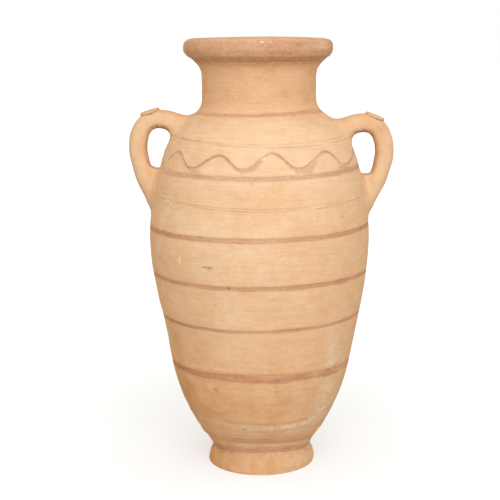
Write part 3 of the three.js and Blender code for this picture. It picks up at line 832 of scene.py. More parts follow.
class Shader:
    """Node tree of a material or the world, built a node at a time."""

    def __init__(self, owner):
        self.owner = owner
        owner.use_nodes = True
        self.tree = owner.node_tree
        self.tree.nodes.clear()

    def node(self, kind, inputs=None, **settings):
        made = self.tree.nodes.new("ShaderNode" + kind)
        for key, value in settings.items():
            setattr(made, key, value)
        for key, value in (inputs or {}).items():
            socket = made.inputs[key]
            if isinstance(value, bpy.types.NodeSocket):
                self.tree.links.new(value, socket)
            else:
                socket.default_value = value
        return made

    def noise(self, place, scale, detail, roughness):
        """Noise, which is stretched where the scale has three parts."""
        if isinstance(scale, tuple):
            place = self.node("Mapping", {"Vector": place, "Scale": scale}).outputs[0]
            scale = 1.0
        inputs = {"Vector": place, "Scale": scale, "Detail": detail, "Roughness": roughness}
        return self.node("TexNoise", inputs).outputs["Fac"]

    def range(self, value, low, high, start=0.0, end=1.0):
        inputs = {"Value": value, "From Min": low, "From Max": high, "To Min": start, "To Max": end}
        return self.node("MapRange", inputs, interpolation_type="SMOOTHSTEP").outputs["Result"]

    def mix(self, share, first, second, blend="MIX"):
        inputs = {0: share, 6: first, 7: second}
        return self.node("Mix", inputs, data_type="RGBA", blend_type=blend).outputs[2]

    def math(self, operation, first, second):
        return self.node("Math", {0: first, 1: second}, operation=operation).outputs[0]

    def times(self, first, second):
        return self.math("MULTIPLY", first, second)

    def plus(self, first, second):
        return self.math("ADD", first, second)

    def split(self, colour):
        return self.node("SeparateColor", {0: colour}).outputs[:3]

    def scattered(self, place, scale, channel, edge, chance):
        """Strength of small grains in some cells of the clay."""
        cells = self.node("TexVoronoi", {"Vector": place, "Scale": scale}).outputs
        drawn = self.range(self.split(cells["Color"])[channel], *chance)
        return self.times(self.range(cells["Distance"], *edge), drawn)


def clay_material(name, roughness, streak_depth, comb_depth):
    """Fired clay; its turning lines fade out where a mesh says that the clay was pulled by hand."""
    shader = Shader(bpy.data.materials.new(name))
    place = shader.node("TexCoord").outputs["Object"]
    painted = shader.node("Attribute", attribute_name="marks").outputs
    stain_and_shade, lime, grime_and_shade = shader.split(painted["Color"])
    pulled = shader.node("Attribute", attribute_name="pulled").outputs["Fac"]
    turned = shader.math("SUBTRACT", 1.0, pulled)
    mottle, streaks, combed, grain = (shader.noise(place, *kind) for kind in (MOTTLE, STREAKS, COMBED, GRAIN))

    def read(kind, *reading):
        return shader.range(shader.noise(place, *kind), *reading)

    fired = shader.plus(painted["Alpha"], read(*PATCHES))
    fired = shader.plus(fired, shader.range(mottle, *MIDDLE, -MOTTLE_FIRING, MOTTLE_FIRING))
    colour = shader.mix(shader.range(fired, *PALE_TO_CLAY), CLAY_PALE, CLAY)
    colour = shader.mix(shader.range(fired, *CLAY_TO_ORANGE), colour, CLAY_ORANGE)
    lines = shader.plus(shader.range(streaks, *BROAD, -streak_depth, STREAK_LIGHT * streak_depth),
                        shader.range(combed, *BROAD, -comb_depth, comb_depth))
    tone = shader.plus(shader.times(lines, turned), 1.0)
    tone = shader.times(tone, shader.range(grain, *BROAD, *GRAIN_TONE))
    shade = shader.node("CombineColor", {0: tone, 1: tone, 2: tone}).outputs[0]
    colour = shader.mix(1.0, colour, shade, "MULTIPLY")
    colour = shader.mix(shader.scattered(place, *SPECKS), colour, SPECK)
    colour = shader.mix(shader.scattered(place, *FLECKS), colour, LIME)
    # The stain channel holds slip stain and painted shade, and the grime channel holds grime and painted
    # shade
    held = shader.times(shader.times(stain_and_shade, read(*BRUSHED)), read(*SOAKED))
    colour = shader.mix(held, colour, SLIP_TINT, "MULTIPLY")
    colour = shader.mix(shader.times(lime, read(*CRUST)), colour, LIME)
    colour = shader.mix(shader.times(grime_and_shade, read(*SMUDGE)), colour, GRIME_AND_SHADE)

    ridges = shader.times(shader.times(streaks, turned), STREAK_HEIGHT)
    height = shader.plus(ridges, shader.times(grain, GRAIN_HEIGHT))
    height = shader.math("SUBTRACT", height, shader.times(read(*PITS), PIT_DEPTH))
    bump = shader.node("Bump", {"Height": height, "Strength": BUMP_STRENGTH, "Distance": BUMP_METRES})
    surface = shader.node("BsdfPrincipled", {
        "Base Color": colour,
        "Roughness": shader.range(mottle, *MIDDLE, *roughness),
        "Normal": bump.outputs[0],
        "Specular IOR Level": SPECULAR,
    })
    shader.node("OutputMaterial", {"Surface": surface.outputs[0]})
    return shader.owner


MATERIALS = {
    "clay": clay_material("fired_clay", roughness=(0.86, 0.97), streak_depth=0.055, comb_depth=0.05),
    "slip": clay_material("slip_coat", roughness=(0.78, 0.92), streak_depth=0.07, comb_depth=0.05),
}


# Pieces of the pot

def section(node, low, high, fine=()):
    """Open section of the pot between two joints. Fine rows follow the lines that were drawn there."""
    rows = levels(low, high, fine)
    turned_piece(node, "clay", [
        outer_skin(bent_levels(rows) if fine else straight_levels(rows)),
        plain_rows(joint_top(high)),
        inner_skin(high + TONGUE, low + TONGUE + FIT_GAP),
        plain_rows(joint_bottom(low)),
    ])


def straight_levels(rows):
    return np.repeat(rows[:, None], COLUMNS, axis=1)


def curve(start, control, end, steps):
    share = np.linspace(0, 1, steps)[:, None]
    start, control, end = (np.array(point, float) for point in (start, control, end))
    return (1 - share) ** 2 * start + 2 * share * (1 - share) * control + share**2 * end


FOOT_DRIFT = ((0.7, 60, 71), (0.25, 16, 72))
FOOT_DRIFT_FADES = ((0, 3), (FOOT_TOP, FOOT_TOP - 2))
FOOT_LEAN_FADES = ((0, FOOT_BULGE), (FOOT_TOP, FOOT_TOP - 5))
# The foot's crease holds slip, lime and grime; the rest has a little lime and grime in spots
CREASE_FADE = (FOOT_TOP - 12, FOOT_TOP + 2)
CREASE_EDGE = (2, 14, 73)
CREASE_STAIN = 0.3
CREASE_LIME = 0.26
CREASE_GRIME = 0.14
FOOT_GRIME = 0.05
FOOT_SPOTS = 0.06
FOOT_LIME_SPOTS = ((0.2, 0.7), 18, 74)
FOOT_GRIME_SPOTS = ((0, 0.8), 5, 75, 2)
# Painted shade on the foot's left side, added as deeper firing
FOOT_LEFT_SHADE = 0.14
FOOT_LEFT = (0.1, -0.4)


def foot_ring():
    middle = (FOOT_RADIUS - FOOT_TAPER, (FOOT_BULGE + FOOT_TOP) / 2)
    outside = np.vstack([
        curve((FOOT_BASE_RADIUS, 0), (FOOT_RADIUS, 0), (FOOT_RADIUS, FOOT_BULGE), steps=9),
        curve((FOOT_RADIUS, FOOT_BULGE), middle, (ANKLE_RADIUS, FOOT_TOP), steps=16)[1:],
    ])
    radius, level = plain_rows(outside)
    angle = np.broadcast_to(ROUND, radius.shape)
    out = faded(level, *FOOT_DRIFT_FADES) * mottled(angle, level, *FOOT_DRIFT)
    out = out + FOOT_LEAN * np.sin(angle) * faded(level, *FOOT_LEAN_FADES)
    climb = np.clip((level - FOOT_TOP) / ANKLE_REACH + 1, 0, 1) ** 2
    out = out + climb * relief(angle, level * 0 + FOOT_TOP)
    creased = smooth(*CREASE_FADE, level + mottled(angle, level, CREASE_EDGE))
    lime_spots, grime_spots = (FOOT_SPOTS * smooth(*spread, pot_noise(angle, level, *rest))
                               for spread, *rest in (FOOT_LIME_SPOTS, FOOT_GRIME_SPOTS))
    mark = np.stack([
        CREASE_STAIN * creased,
        CREASE_LIME * creased + lime_spots,
        FOOT_GRIME + CREASE_GRIME * creased + grime_spots,
        # Deeper firing on the left is painted shade
        firing(angle, level) + FOOT_LEFT_SHADE * smooth(*FOOT_LEFT, np.sin(angle)),
    ], axis=-1)
    inside = [
        (FOOT_SEAT, FOOT_TOP), (FOOT_BORE, FOOT_TOP), (FOOT_BORE, FOOT_BORE_ROW), (FOOT_BORE, FOOT_EDGE),
        (FOOT_BORE + FOOT_EDGE, 0), (FOOT_TREAD, 0),
    ]
    skin = (radius + out, level + settle(angle, level), mark)
    turned_piece("foot_ring", "clay", [skin, plain_rows(inside)])


def lower_body():
    spigot, spigot_level = FOOT_BORE - FIT_GAP, FOOT_TOP - SPIGOT
    floor_top = FOOT_TOP + FLOOR
    bowl_level = floor_top + WALL
    bowl = inner_radius(bowl_level)
    underside = [(radius, spigot_level) for radius in (*FLOOR_ROWS, spigot)]
    floor = [(radius, floor_top) for radius in FLOOR_ROWS[::-1]]
    bend = (bowl - BOWL_CORNER, floor_top)
    corner = curve((bowl, bowl_level), bend, (bowl - WALL, floor_top), steps=5)[1:]
    turned_piece("lower_body", "clay", [
        plain_rows(underside + [(spigot, FOOT_TOP), (FOOT_SEAT, FOOT_TOP)]),
        outer_skin(straight_levels(levels(FOOT_TOP, LOWER_TOP))),
        plain_rows(joint_top(LOWER_TOP)),
        inner_skin(LOWER_TOP + TONGUE, bowl_level),
        plain_rows([*corner, *floor]),
    ], ((0, 0, spigot_level), (0, 0, floor_top)))


def droop(level):
    """Level of the rim's crown, which sags a little towards the handles."""
    sag = RIM_DROOP * (1 + RIM_LEAN * np.sin(ROUND))
    return level - sag * np.sin(ROUND) ** 2 * smooth(RIM_BULGE, RIM_TOP, level)


ROLL_STEPS = 26
LIP_STEPS = 9
ROLL_TILT = 1.4


def rim_collar():
    seat = NECK_TOP + TONGUE + FIT_GAP
    mouth = inner_radius(seat)
    turn = np.linspace(0, math.pi / 2, ROLL_STEPS)[1:]
    turn_power = 2 / RIM_SQUARENESS
    roll_radius = (RIM_RADIUS - RIM_CREST_RADIUS) * np.clip(np.cos(turn), 0, 1) ** turn_power
    roll_level = (RIM_TOP - RIM_BULGE) * np.sin(turn) ** turn_power
    roll = np.stack([RIM_CREST_RADIUS + roll_radius, RIM_BULGE + roll_level], axis=-1)
    radius, level = plain_rows(roll)
    angle = np.broadcast_to(ROUND, radius.shape)
    tilt = np.arctan2(radius - RIM_CREST_RADIUS, ROLL_TILT * (level - RIM_BULGE) + 0.01)
    out = relief(angle, level) * np.sin(tilt)
    lip = curve((RIM_CREST_RADIUS, RIM_TOP), (mouth, RIM_TOP), (mouth, RIM_TOP - LIP_DEPTH), LIP_STEPS)[1:]
    lip_radius, lip_level = plain_rows(lip)
    turned_piece("rim_collar", "clay", [
        outer_skin(straight_levels(levels(NECK_TOP, RIM_BULGE))),
        (radius + out, droop(level), marks(angle, level)),
        (lip_radius, droop(lip_level)),
        plain_rows([(mouth, row) for row in (*MOUTH_ROWS, seat)]),
        plain_rows(joint_bottom(NECK_TOP)),
    ])


foot_ring()
lower_body()
section("belly", LOWER_TOP, BELLY_TOP)
section("shoulder", BELLY_TOP, SHOULDER_TOP, SHOULDER_FINE)
section("neck", SHOULDER_TOP, NECK_TOP)
rim_collar()


# Coats of slip

# Heights over the clay: where no slip is, what slip adds, at the edges, at the back
COAT_SUNK = -0.45
COAT_RISE = 0.65
COAT_RISE_SHARE = (0.12, 0.45)
COAT_EDGE = -0.8
COAT_BACK = -1.3
LEAST_STAIN = 0.2
LIME_COVER = 0.6
# Reach under and over the band, raggedness, wear, darker lower and upper edge, grime that browns it
COATS = {
    "slip_band_foot": (0, 4, 0.35, 0.4, 0, 0, 0.2),
    "slip_band_lower": (4.5, 4.5, 0.22, 0.75, 0.3, 0, 0.08),
    "slip_band_low_belly": (3, 3, 0.2, 0.3, 0, 0, 0.14),
    "slip_band_mid_belly": (3, 3, 0.2, 0.45, 0.15, 0, 0.12),
    "slip_band_high_belly": (3.5, 3.5, 0.14, 0.35, 0.12, 0.05, 0.12),
    "slip_band_wave": (4, 26, 0.2, 0.35, 0, 0, 0.1),
    "slip_line_neck": (2.5, 6, 0.2, 0.25, 0, 0, 0.1),
    "slip_band_rim": (3, 1.4, 0, 0, 0, 0, 0),
}
# Places where the widest band's slip went on thin: place, half width, half height, share that is missing
THIN_SPOTS = (
    ((0, 183.4), 20, 3.4, 0.5), ((13, 183.2), 24, 3, 0.4), ((-30, 181), 26, 2, 0.3),
    ((36, 181), 14, 3, 0.45), ((49, 183), 8, 3, 0.4),
)
# Brushwork of a band: noises with a seed that is counted from the band's number
PAINT_SEED = 80
COVER = (1.28, 0.72)
RAGGED = ((1, 9, 0, 2), (0.6, 3.5, 20, 3))
LOADED = (0.22, 18, 80, 1.6)
EDGE_LINE = 0.8
EDGE_LINE_HALF = 0.3
DRY = (22, 40, 2)
DRY_SPREAD = (0, 0.7)
DRY_STREAK = (1.6, 60, 14)
SMEAR_OVERLAP = 3


def painted(name, angle, level, stain_and_shade):
    """Share of slip on a band: ragged edges, darker lines along them, and streaks where the brush ran dry."""
    if name == "slip_band_rim":  # One thin wash with the stained clay round it
        return stain_and_shade

    def brushed(cell, seed, *stretch):
        return pot_noise(angle, level, cell, PAINT_SEED + BAND_NUMBER[name] + seed, *stretch)

    edge, wear, *edge_lines = COATS[name][2:6]
    away = band_distance(name, angle, level)
    ragged = sum(strength * brushed(*rest) for strength, *rest in RAGGED)
    cover = smooth(*COVER, np.abs(away) + edge * ragged)
    strength = stroke(name, angle)[0] * (1 + LOADED[0] * brushed(*LOADED[1:]))
    for line, place in zip(edge_lines, (-EDGE_LINE, EDGE_LINE)):
        strength = strength + line * np.exp(-(((away - place) / EDGE_LINE_HALF) ** 2))
    if name == "slip_band_lower":
        for *patch, missing in THIN_SPOTS:
            strength = strength * (1 - missing * spot(angle, level, *patch))
    dry = smooth(*DRY_SPREAD, brushed(*DRY)) * (0.5 + 0.5 * brushed(*DRY_STREAK))
    share = cover * np.clip(strength, 0, 1) * (1 - wear * dry)
    if name == "slip_band_wave":
        share = np.maximum(share, smear(angle, level) * (level < wave_level(angle) + SMEAR_OVERLAP))
    return share


def coat(name):
    """Coat of slip: it stands a hair over the clay where it is painted and dips under it elsewhere."""
    reach_low, reach_high, *_, browned = COATS[name]
    centre, width = BANDS[name][:2]
    rows = np.arange(centre - width / 2 - reach_low, centre + width / 2 + reach_high, COAT_ROW)
    level = np.repeat(rows[:, None], COAT_COLUMNS, axis=1)
    angle = np.broadcast_to(angles(COAT_COLUMNS), level.shape)
    radius, slope = wall(np.clip(level, FOOT_TOP, RIM_BULGE))
    root = np.hypot(1, slope)
    mark = marks(angle, level)
    share = painted(name, angle, level, mark[..., 0])
    clay_out = relief(angle, level)
    lift = clay_out + COAT_SUNK + COAT_RISE * smooth(*COAT_RISE_SHARE, share)
    lift[[0, -1]] = clay_out[[0, -1]] + COAT_EDGE
    back = radius + (clay_out + COAT_BACK) * root
    back_rows = np.append(np.arange(len(rows) - 1, 2, -COAT_BACK_ROWS), 0)
    mark[..., 1] = mark[..., 1] * (1 - LIME_COVER * share)
    mark[..., 2] = np.maximum(mark[..., 2], browned * share)
    mark[..., 0] = np.clip(share, LEAST_STAIN, 1)
    risen = level + settle(angle, level)
    turned_piece(name, "slip", [(radius + lift * root, risen, mark), (back[back_rows], risen[back_rows])])


for name in BANDS:
    coat(name)


# Handles

NET_STEP = 1.5
NET_MARGIN = 3
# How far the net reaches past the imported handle: towards the pot, to both sides, down
NET_REACH = (14, 16, 26)
REFINE_STEPS = 3
REFINE_PROBE = 0.05
REFINE_LIMIT = 0.8
LEAST_STEEPNESS = 0.25
PATH_STEPS = 260
SQUARENESS = 2.4
TINY = 1e-6
# Middle of the strap: drop under the shoulder's top and standoff from the wall; leads of its curve
STRAP_ROOT = (30, -15.5)
STRAP_WAIST = (59, 44.5)
STRAP_TAIL = (163, -17)
STRAP_LEADS = ((17, 20), (0, 69), (0, -29), (7.5, 35))
# Thickness and width at the root, the waist, the crotch and the tail, and stretches that they change over
STRAP_THICKNESS = (34, 29.5, 33, 31)
STRAP_WIDTH = (46, 37, 42, 50)
ROOT_TAPER = (0, 0.5)
CROTCH_TAPER = (0.15, 0.5)
TAIL_TAPER = (0.5, 1)
# Stations where the inside is cut back, the outside swells and the tail sinks in
CUT_FADES = ((1.12, 1.42), (1.9, 1.5))
OUTER_SWELL = 1.8
OUTER_FADE = (1.2, 1.45)
TAIL_SINK = 10
TAIL_FADE = (1.74, 2)
STRAP_DRIFT = ((0.55, 34, 0), (0.25, 13, 1))
# Clay smeared under the strap, and how strap and wall blend
WEB_HALF = 15
WEB_BLEND = 4
WEB_COVER = 2
ROOT_BLEND = 17
CROTCH_BLEND = 8
TAIL_BLEND = 16
CROTCH_FADE = (-12, 1)
ROOT_FADE = (4, 40)
SKIN_DEPTH = 2
SKIN_SINK = 1.3 * SKIN_DEPTH
SKIN_FADE = (0.78, 1.12)
HANDLES = {
    "left": {"sign": -1, "drop": 0, "reach": 0, "pad": 0.58, "seed": 101, "firing": 0.27,
             "cut": 3.4, "web": ((177.9, 495), (160.6, 489))},
    "right": {"sign": 1, "drop": 8.5, "reach": 3, "pad": 0.61, "seed": 111, "firing": 0.25,
              "cut": 5, "web": ((180.7, 479.6), (162.9, 479))},
}


def bezier(points, share):
    a, b, c, d = (np.array(point, float) for point in points)
    t = np.asarray(share, float)[..., None]
    place = (1 - t) ** 3 * a + 3 * t * (1 - t) ** 2 * b + 3 * t**2 * (1 - t) * c + t**3 * d
    along = (1 - t) ** 2 * (b - a) + 2 * t * (1 - t) * (c - b) + t**2 * (d - c)
    return place, along / np.linalg.norm(along, axis=-1, keepdims=True)


def strap_path(station, spec):
    """Place and direction of the strap's middle in its plane, from 0 at the root past 1 at the waist to 2."""
    def beside_wall(drop, standoff):
        level = SHOULDER_TOP - drop - spec["drop"]
        return np.array([wall(level)[0] + standoff, level])
    root, tail = beside_wall(*STRAP_ROOT), beside_wall(*STRAP_TAIL)
    waist = beside_wall(*STRAP_WAIST) + (spec["reach"], 0)
    off_root, over_waist, under_waist, off_tail = STRAP_LEADS
    upper = bezier((root, root + off_root, waist + over_waist, waist), np.clip(station, 0, 1))
    lower = bezier((waist, waist + under_waist, tail + off_tail, tail), np.clip(station - 1, 0, 1))
    is_upper = (np.asarray(station) < 1)[..., None]
    return np.where(is_upper, upper[0], lower[0]), np.where(is_upper, upper[1], lower[1])


def strap_size(station, sizes):
    root, waist, crotch, tail = sizes
    below = station - 1
    upper = root + (waist - root) * smooth(*ROOT_TAPER, station)
    swollen = waist + (crotch - waist) * smooth(*CROTCH_TAPER, below)
    return np.where(station < 1, upper, swollen + (tail - swollen) * smooth(*TAIL_TAPER, below))


def strap_distance(x, y, z, spec):
    """About how far a point lies outside the strap, and outside its middle; x points away from the pot."""
    station = np.linspace(0, 2, PATH_STEPS)
    place, along = strap_path(station, spec)
    nearest = np.argmin((x[..., None] - place[:, 0]) ** 2 + (z[..., None] - place[:, 1]) ** 2, axis=-1)
    gap_x, gap_z = x - place[nearest, 0], z - place[nearest, 1]
    lead = gap_x * along[nearest, 0] + gap_z * along[nearest, 1]
    speed = np.linalg.norm(np.gradient(place, station, axis=0), axis=1)
    here = np.clip(station[nearest] + lead / speed[nearest], 0, 2)
    place, along = strap_path(here, spec)
    gap_x, gap_z = x - place[..., 0], z - place[..., 1]
    side = -along[..., 1] * gap_x + along[..., 0] * gap_z
    thick, wide = strap_size(here, STRAP_THICKNESS) / 2, strap_size(here, STRAP_WIDTH) / 2
    thick = thick - np.where(side < 0, spec["cut"] * faded(here, *CUT_FADES), 0)
    thick = thick + np.where(side > 0, OUTER_SWELL * faded(here, OUTER_FADE), 0)
    high, broad = np.abs(side / thick) + TINY, np.abs(y / wide) + TINY
    ratio = (high**SQUARENESS + broad**SQUARENESS) ** (1 / SQUARENESS)
    steep = np.hypot(high ** (SQUARENESS - 1) / thick, broad ** (SQUARENESS - 1) / wide)
    beyond = gap_x * along[..., 0] + gap_z * along[..., 1]
    ended = TAIL_SINK * faded(here, TAIL_FADE) + np.clip(beyond, 0, None) * (here > 1)
    return (ratio - 1) * ratio ** (SQUARENESS - 1) / steep + ended, side


def wall_distance(x, y, z, spec, with_relief):
    level = np.clip(z, FOOT_TOP, NECK_TOP)
    radius, slope = wall(level)
    out = (np.hypot(x, y) - radius) / np.hypot(1, slope)
    if with_relief:
        out = out - relief(np.arctan2(spec["sign"] * x, -spec["sign"] * y), level)
    return out


def smooth_union(first, second, blend):
    share = np.clip(0.5 + 0.5 * (first - second) / blend, 0, 1)
    return first + (second - first) * share - blend * share * (1 - share)


def handle_field(x, y, z, spec, with_relief):
    """Negative inside the handle: the strap and the clay smeared under it, blended into the wall's skin."""
    strap, side = strap_distance(x, y, z, spec)
    if with_relief:
        for depth, cell, seed in STRAP_DRIFT:
            strap = strap - depth * noise(x / cell, y / cell, z / cell, spec["seed"] + seed)
    skin = wall_distance(x, y, z, spec, with_relief)
    (outer_x, outer_z), (inner_x, inner_z) = spec["web"]
    length = math.hypot(outer_x - inner_x, outer_z - inner_z)
    over = ((z - inner_z) * (outer_x - inner_x) - (x - inner_x) * (outer_z - inner_z)) / length
    web = np.maximum(np.maximum(over, np.abs(y) - WEB_HALF), side - WEB_COVER)
    strap = smooth_union(strap, web, WEB_BLEND)
    blend = TAIL_BLEND + (CROTCH_BLEND - TAIL_BLEND) * faded(z - inner_z, CROTCH_FADE)
    blend = blend + (ROOT_BLEND - CROTCH_BLEND) * faded(z - inner_z, ROOT_FADE)
    joined = smooth_union(skin, strap, blend) + SKIN_SINK * smooth(*SKIN_FADE, strap / blend)
    return np.maximum(joined, -(skin + SKIN_DEPTH)), strap, skin


def surface_net(field):
    """Points, in grid steps, and outward quads on the zero level of a field on a grid."""
    cells = np.array(field.shape) - 1
    total = np.zeros((*cells, 3))
    count = np.zeros(cells, int)
    edges = []
    for axis in range(3):
        def part(cut):
            return tuple(cut if each == axis else slice(None) for each in range(3))
        first, second = field[part(slice(0, -1))], field[part(slice(1, None))]
        crosses = (first < 0) != (second < 0)
        place = np.stack(np.indices(first.shape), axis=-1).astype(float)
        place[..., axis] += np.where(crosses, first / np.where(crosses, first - second, 1), 0)
        for shift in np.ndindex(2, 2):
            offsets = list(shift)
            offsets.insert(axis, 0)
            window = tuple(slice(offset, offset + size) for offset, size in zip(offsets, cells))
            total += np.where(crosses[window][..., None], place[window], 0)
            count += crosses[window]
        edges.append((crosses, first < 0))
    index = np.full(cells, -1)
    index[count > 0] = np.arange(np.count_nonzero(count))
    quads = []
    for axis, (crosses, starts_inside) in enumerate(edges):
        found = np.argwhere(crosses)
        steps = np.roll([(0, -1, -1), (0, 0, -1), (0, 0, 0), (0, -1, 0)], axis, axis=1)
        quad = np.stack([index[tuple((found + step).T)] for step in steps], axis=-1)
        flip = ~starts_inside[tuple(found.T)]
        quad[flip] = quad[flip][:, ::-1]
        quads.append(quad)
    has = count > 0
    return total[has] / count[has][:, None], np.concatenate(quads)


# Marks on the handles: how far from the strap the wall's own marks begin, and what the strap has
WALL_MARKS = (1, 6)
STRAP_STAIN = 0.05
STRAP_GRIME = 0.06
MARK_CELL = 15
# Firing, lime and grime in patches: strength, share of the cell, seed, spread of the noise
STRAP_FIRING = (0.14, 0.4, 4)
STRAP_LIME = (0.25, 0.6, 3, (0.4, 0.8))
STRAP_DIRT = (0.25, 1, 2, (0.5, 0.85))
# Painted shade on the strap's underside and inside, over this level, put into the grime
HIDDEN_SHADE = 0.75
FACING_DOWN = (0.2, 0.8)
FACING_IN = (0.5, 0.95)
FACING_IN_SHARE = 0.4
HIDDEN_REACH = (8, 1)
HIDDEN_FROM = 470
# Painted shade in the valley between strap and wall, under the crotch, put into the stain
VALLEY_SHADE = 0.3
VALLEY_HALF = 5
VALLEY_FADE = (0, -8)


def handle(side_name):
    spec = HANDLES[side_name]
    low, high = (np.array(corner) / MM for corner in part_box("handle_" + side_name))
    reach = np.sort(np.abs([low[0], high[0]]))
    broad = max(abs(low[1]), abs(high[1])) + NET_REACH[1]
    lows = np.array([reach[0] - NET_REACH[0], -broad, low[2] - NET_REACH[2]])
    highs = np.array([reach[1] + NET_MARGIN, broad, high[2] + NET_MARGIN])
    axes = [np.arange(start, stop + NET_STEP, NET_STEP) for start, stop in zip(lows, highs)]
    grid = (axes[0][:, None, None], axes[1][None, :, None], axes[2][None, None, :])
    places, quads = surface_net(handle_field(*grid, spec, False)[0])
    points = lows + NET_STEP * places
    for _ in range(REFINE_STEPS):
        here = handle_field(*points.T, spec, True)[0]
        probes = [handle_field(*(points + shift).T, spec, True)[0] for shift in REFINE_PROBE * np.eye(3)]
        slopes = np.stack([(probe - here) / REFINE_PROBE for probe in probes], axis=-1)
        size = np.maximum((slopes**2).sum(1), LEAST_STEEPNESS)
        points = points - np.clip(here / size, -REFINE_LIMIT, REFINE_LIMIT)[:, None] * slopes
    facing_down, facing_in = -slopes[:, [2, 0]].T / np.linalg.norm(slopes, axis=1)
    _, strap, skin = handle_field(*points.T, spec, True)
    points[:, :2] *= spec["sign"]
    height = points[:, 2]

    def patches(strength, share, seed, spread=None):
        found = noise(*(share * points / MARK_CELL).T, spec["seed"] + seed)
        return strength * (found if spread is None else smooth(*spread, found))

    share = smooth(*WALL_MARKS, strap)
    own = 1 - share
    angle = np.arctan2(points[:, 0], -points[:, 1])
    mark = marks(angle, np.clip(height, FOOT_TOP, RIM_BULGE)) * share[:, None]
    # Painted shade where the strap faces down or in towards the pot
    underside_shade = np.maximum(smooth(*FACING_DOWN, facing_down), FACING_IN_SHARE * smooth(*FACING_IN, facing_in))
    underside_shade = HIDDEN_SHADE * underside_shade * smooth(*HIDDEN_REACH, strap) * (height > HIDDEN_FROM)
    # Painted shade in the valley between strap and wall
    valley = VALLEY_SHADE * np.exp(-(((strap - skin) / VALLEY_HALF) ** 2))
    valley = valley * smooth(*VALLEY_FADE, height - spec["web"][1][1])
    mark[:, 0] = strongest(mark[:, 0], STRAP_STAIN * own, valley)
    mark[:, 1] = strongest(mark[:, 1], patches(*STRAP_LIME))
    mark[:, 2] = strongest(mark[:, 2], STRAP_GRIME * own, underside_shade, patches(*STRAP_DIRT))
    mark[:, 3] += own * (spec["firing"] + patches(*STRAP_FIRING))
    make_piece("handle_" + side_name, "clay", points, quads, mark, pulled=own)


PAD_LENGTH = 32
PAD_WIDTH = 31
PAD_RISE = 3
PAD_THICKNESS = 8
PAD_ROUND = 1.9
PAD_COLUMNS = 72
PAD_SINK = 1.5
PAD_UNDERSIDE = (0.3, 0.7, 0.96)
PAD_EDGE_STEPS = 7
PAD_TOP_STEPS = 14
PAD_TOP_LAST = 0.06
PAD_EDGE = 0.5
PAD_EDGE_SHARE = 1.01
# Uneven outline and top: strength, turns or cell, place of the slice through the noise, seed
PAD_OUTLINE = (0.05, 1.3, 0.5, 5)
PAD_GRAIN = (0.3, 7, 0.3, 6)
# The top falls off along and across the strap, and the thumb left a dent: depth, place, spread
PAD_FALL = (0.006, 0.011)
PAD_DENT = (0.9, -1.5, 70)
STRAP_BEND = 80
PAD_STAIN = 0.12
PAD_GRIME = 0.25
PAD_GRIME_CELL = 9
PAD_GRIME_SEED = 7
PAD_GRIME_SPREAD = (0.3, 0.8)
# Painted contact shadow along the pad's lowest rows, put into the grime
PAD_CREASE_SHADE = 0.5
PAD_CREASE_ROWS = 5


def thumb_pad(side_name):
    """Pellet of clay pressed flat on the strap with the thumb, which leaves a dent."""
    spec = HANDLES[side_name]
    station = np.array(spec["pad"])
    place, along = strap_path(station, spec)
    normal = np.array([-along[1], along[0]])
    crown, half_wide = (float(strap_size(station, sizes)) / 2 for sizes in (STRAP_THICKNESS, STRAP_WIDTH))
    turn = angles(PAD_COLUMNS)
    strength, turns, cut, seed = PAD_OUTLINE
    outline = 1 + strength * noise(turns * np.cos(turn), turns * np.sin(turn), cut, spec["seed"] + seed)

    def disc(share):
        return share * outline * np.cos(turn) * PAD_LENGTH / 2, share * outline * np.sin(turn) * PAD_WIDTH / 2

    def underside(a, c):
        across = np.clip(np.abs(c) / half_wide, 0, 0.99)
        return crown * (1 - across**SQUARENESS) ** (1 / SQUARENESS) - a**2 / STRAP_BEND - PAD_SINK

    def top(a, c):
        depth, middle, spread = PAD_DENT
        dent = depth * np.exp(-((a - middle) ** 2 + c**2) / spread)
        rise, cell, cut, seed = PAD_GRAIN
        bumps = rise * noise(a / cell, c / cell, cut, spec["seed"] + seed)
        return crown + PAD_RISE - PAD_FALL[1] * c**2 - PAD_FALL[0] * a**2 - dent + bumps

    def in_space(a, c, height):
        plane = place + a[:, None] * along + height[:, None] * normal
        return np.stack([spec["sign"] * plane[:, 0], -spec["sign"] * c, plane[:, 1]], axis=-1)

    edge = [(1.0, PAD_EDGE - PAD_THICKNESS), (PAD_EDGE_SHARE, (PAD_ROUND - PAD_THICKNESS) / 2)]
    for roll in np.linspace(0, math.pi / 2, PAD_EDGE_STEPS):
        edge.append((1 - (1 - math.cos(roll)) * 2 * PAD_ROUND / PAD_LENGTH, (math.sin(roll) - 1) * PAD_ROUND))
    inner = [(share, 0.0) for share in np.linspace(edge[-1][0], PAD_TOP_LAST, PAD_TOP_STEPS)[1:]]
    rows = [(*disc(share), underside(*disc(share))) for share in PAD_UNDERSIDE]
    rows += [(*disc(share), top(*disc(share)) + drop) for share, drop in edge + inner]
    points = np.array([in_space(*row) for row in rows])
    zero = np.zeros(1)
    pole_heights = (crown - PAD_SINK, np.mean(rows[-1][2]))
    poles = [in_space(zero, zero, np.array([height]))[0] for height in pole_heights]
    mark = plain_marks(points.shape[:2])
    mark[..., 0] = PAD_STAIN
    dirt = noise(*np.moveaxis(points / PAD_GRIME_CELL, -1, 0), spec["seed"] + PAD_GRIME_SEED)
    mark[..., 2] = PAD_GRIME * smooth(*PAD_GRIME_SPREAD, dirt)
    # Painted contact shadow under the pad's edge
    mark[:PAD_CREASE_ROWS, :, 2] = PAD_CREASE_SHADE
    grid_piece("thumb_pad_" + side_name, "clay", points, mark, False, poles, is_pulled=True)


for side_name in HANDLES:
    handle(side_name)
    thumb_pad(side_name)


# Stage, light and camera; lengths in metres

FLOOR_SIZE = 60
FLOOR_SEEN = (0.80, 0.89, 1, 1)
FLOOR_BOUNCE = (0.50, 0.47, 0.43, 1)
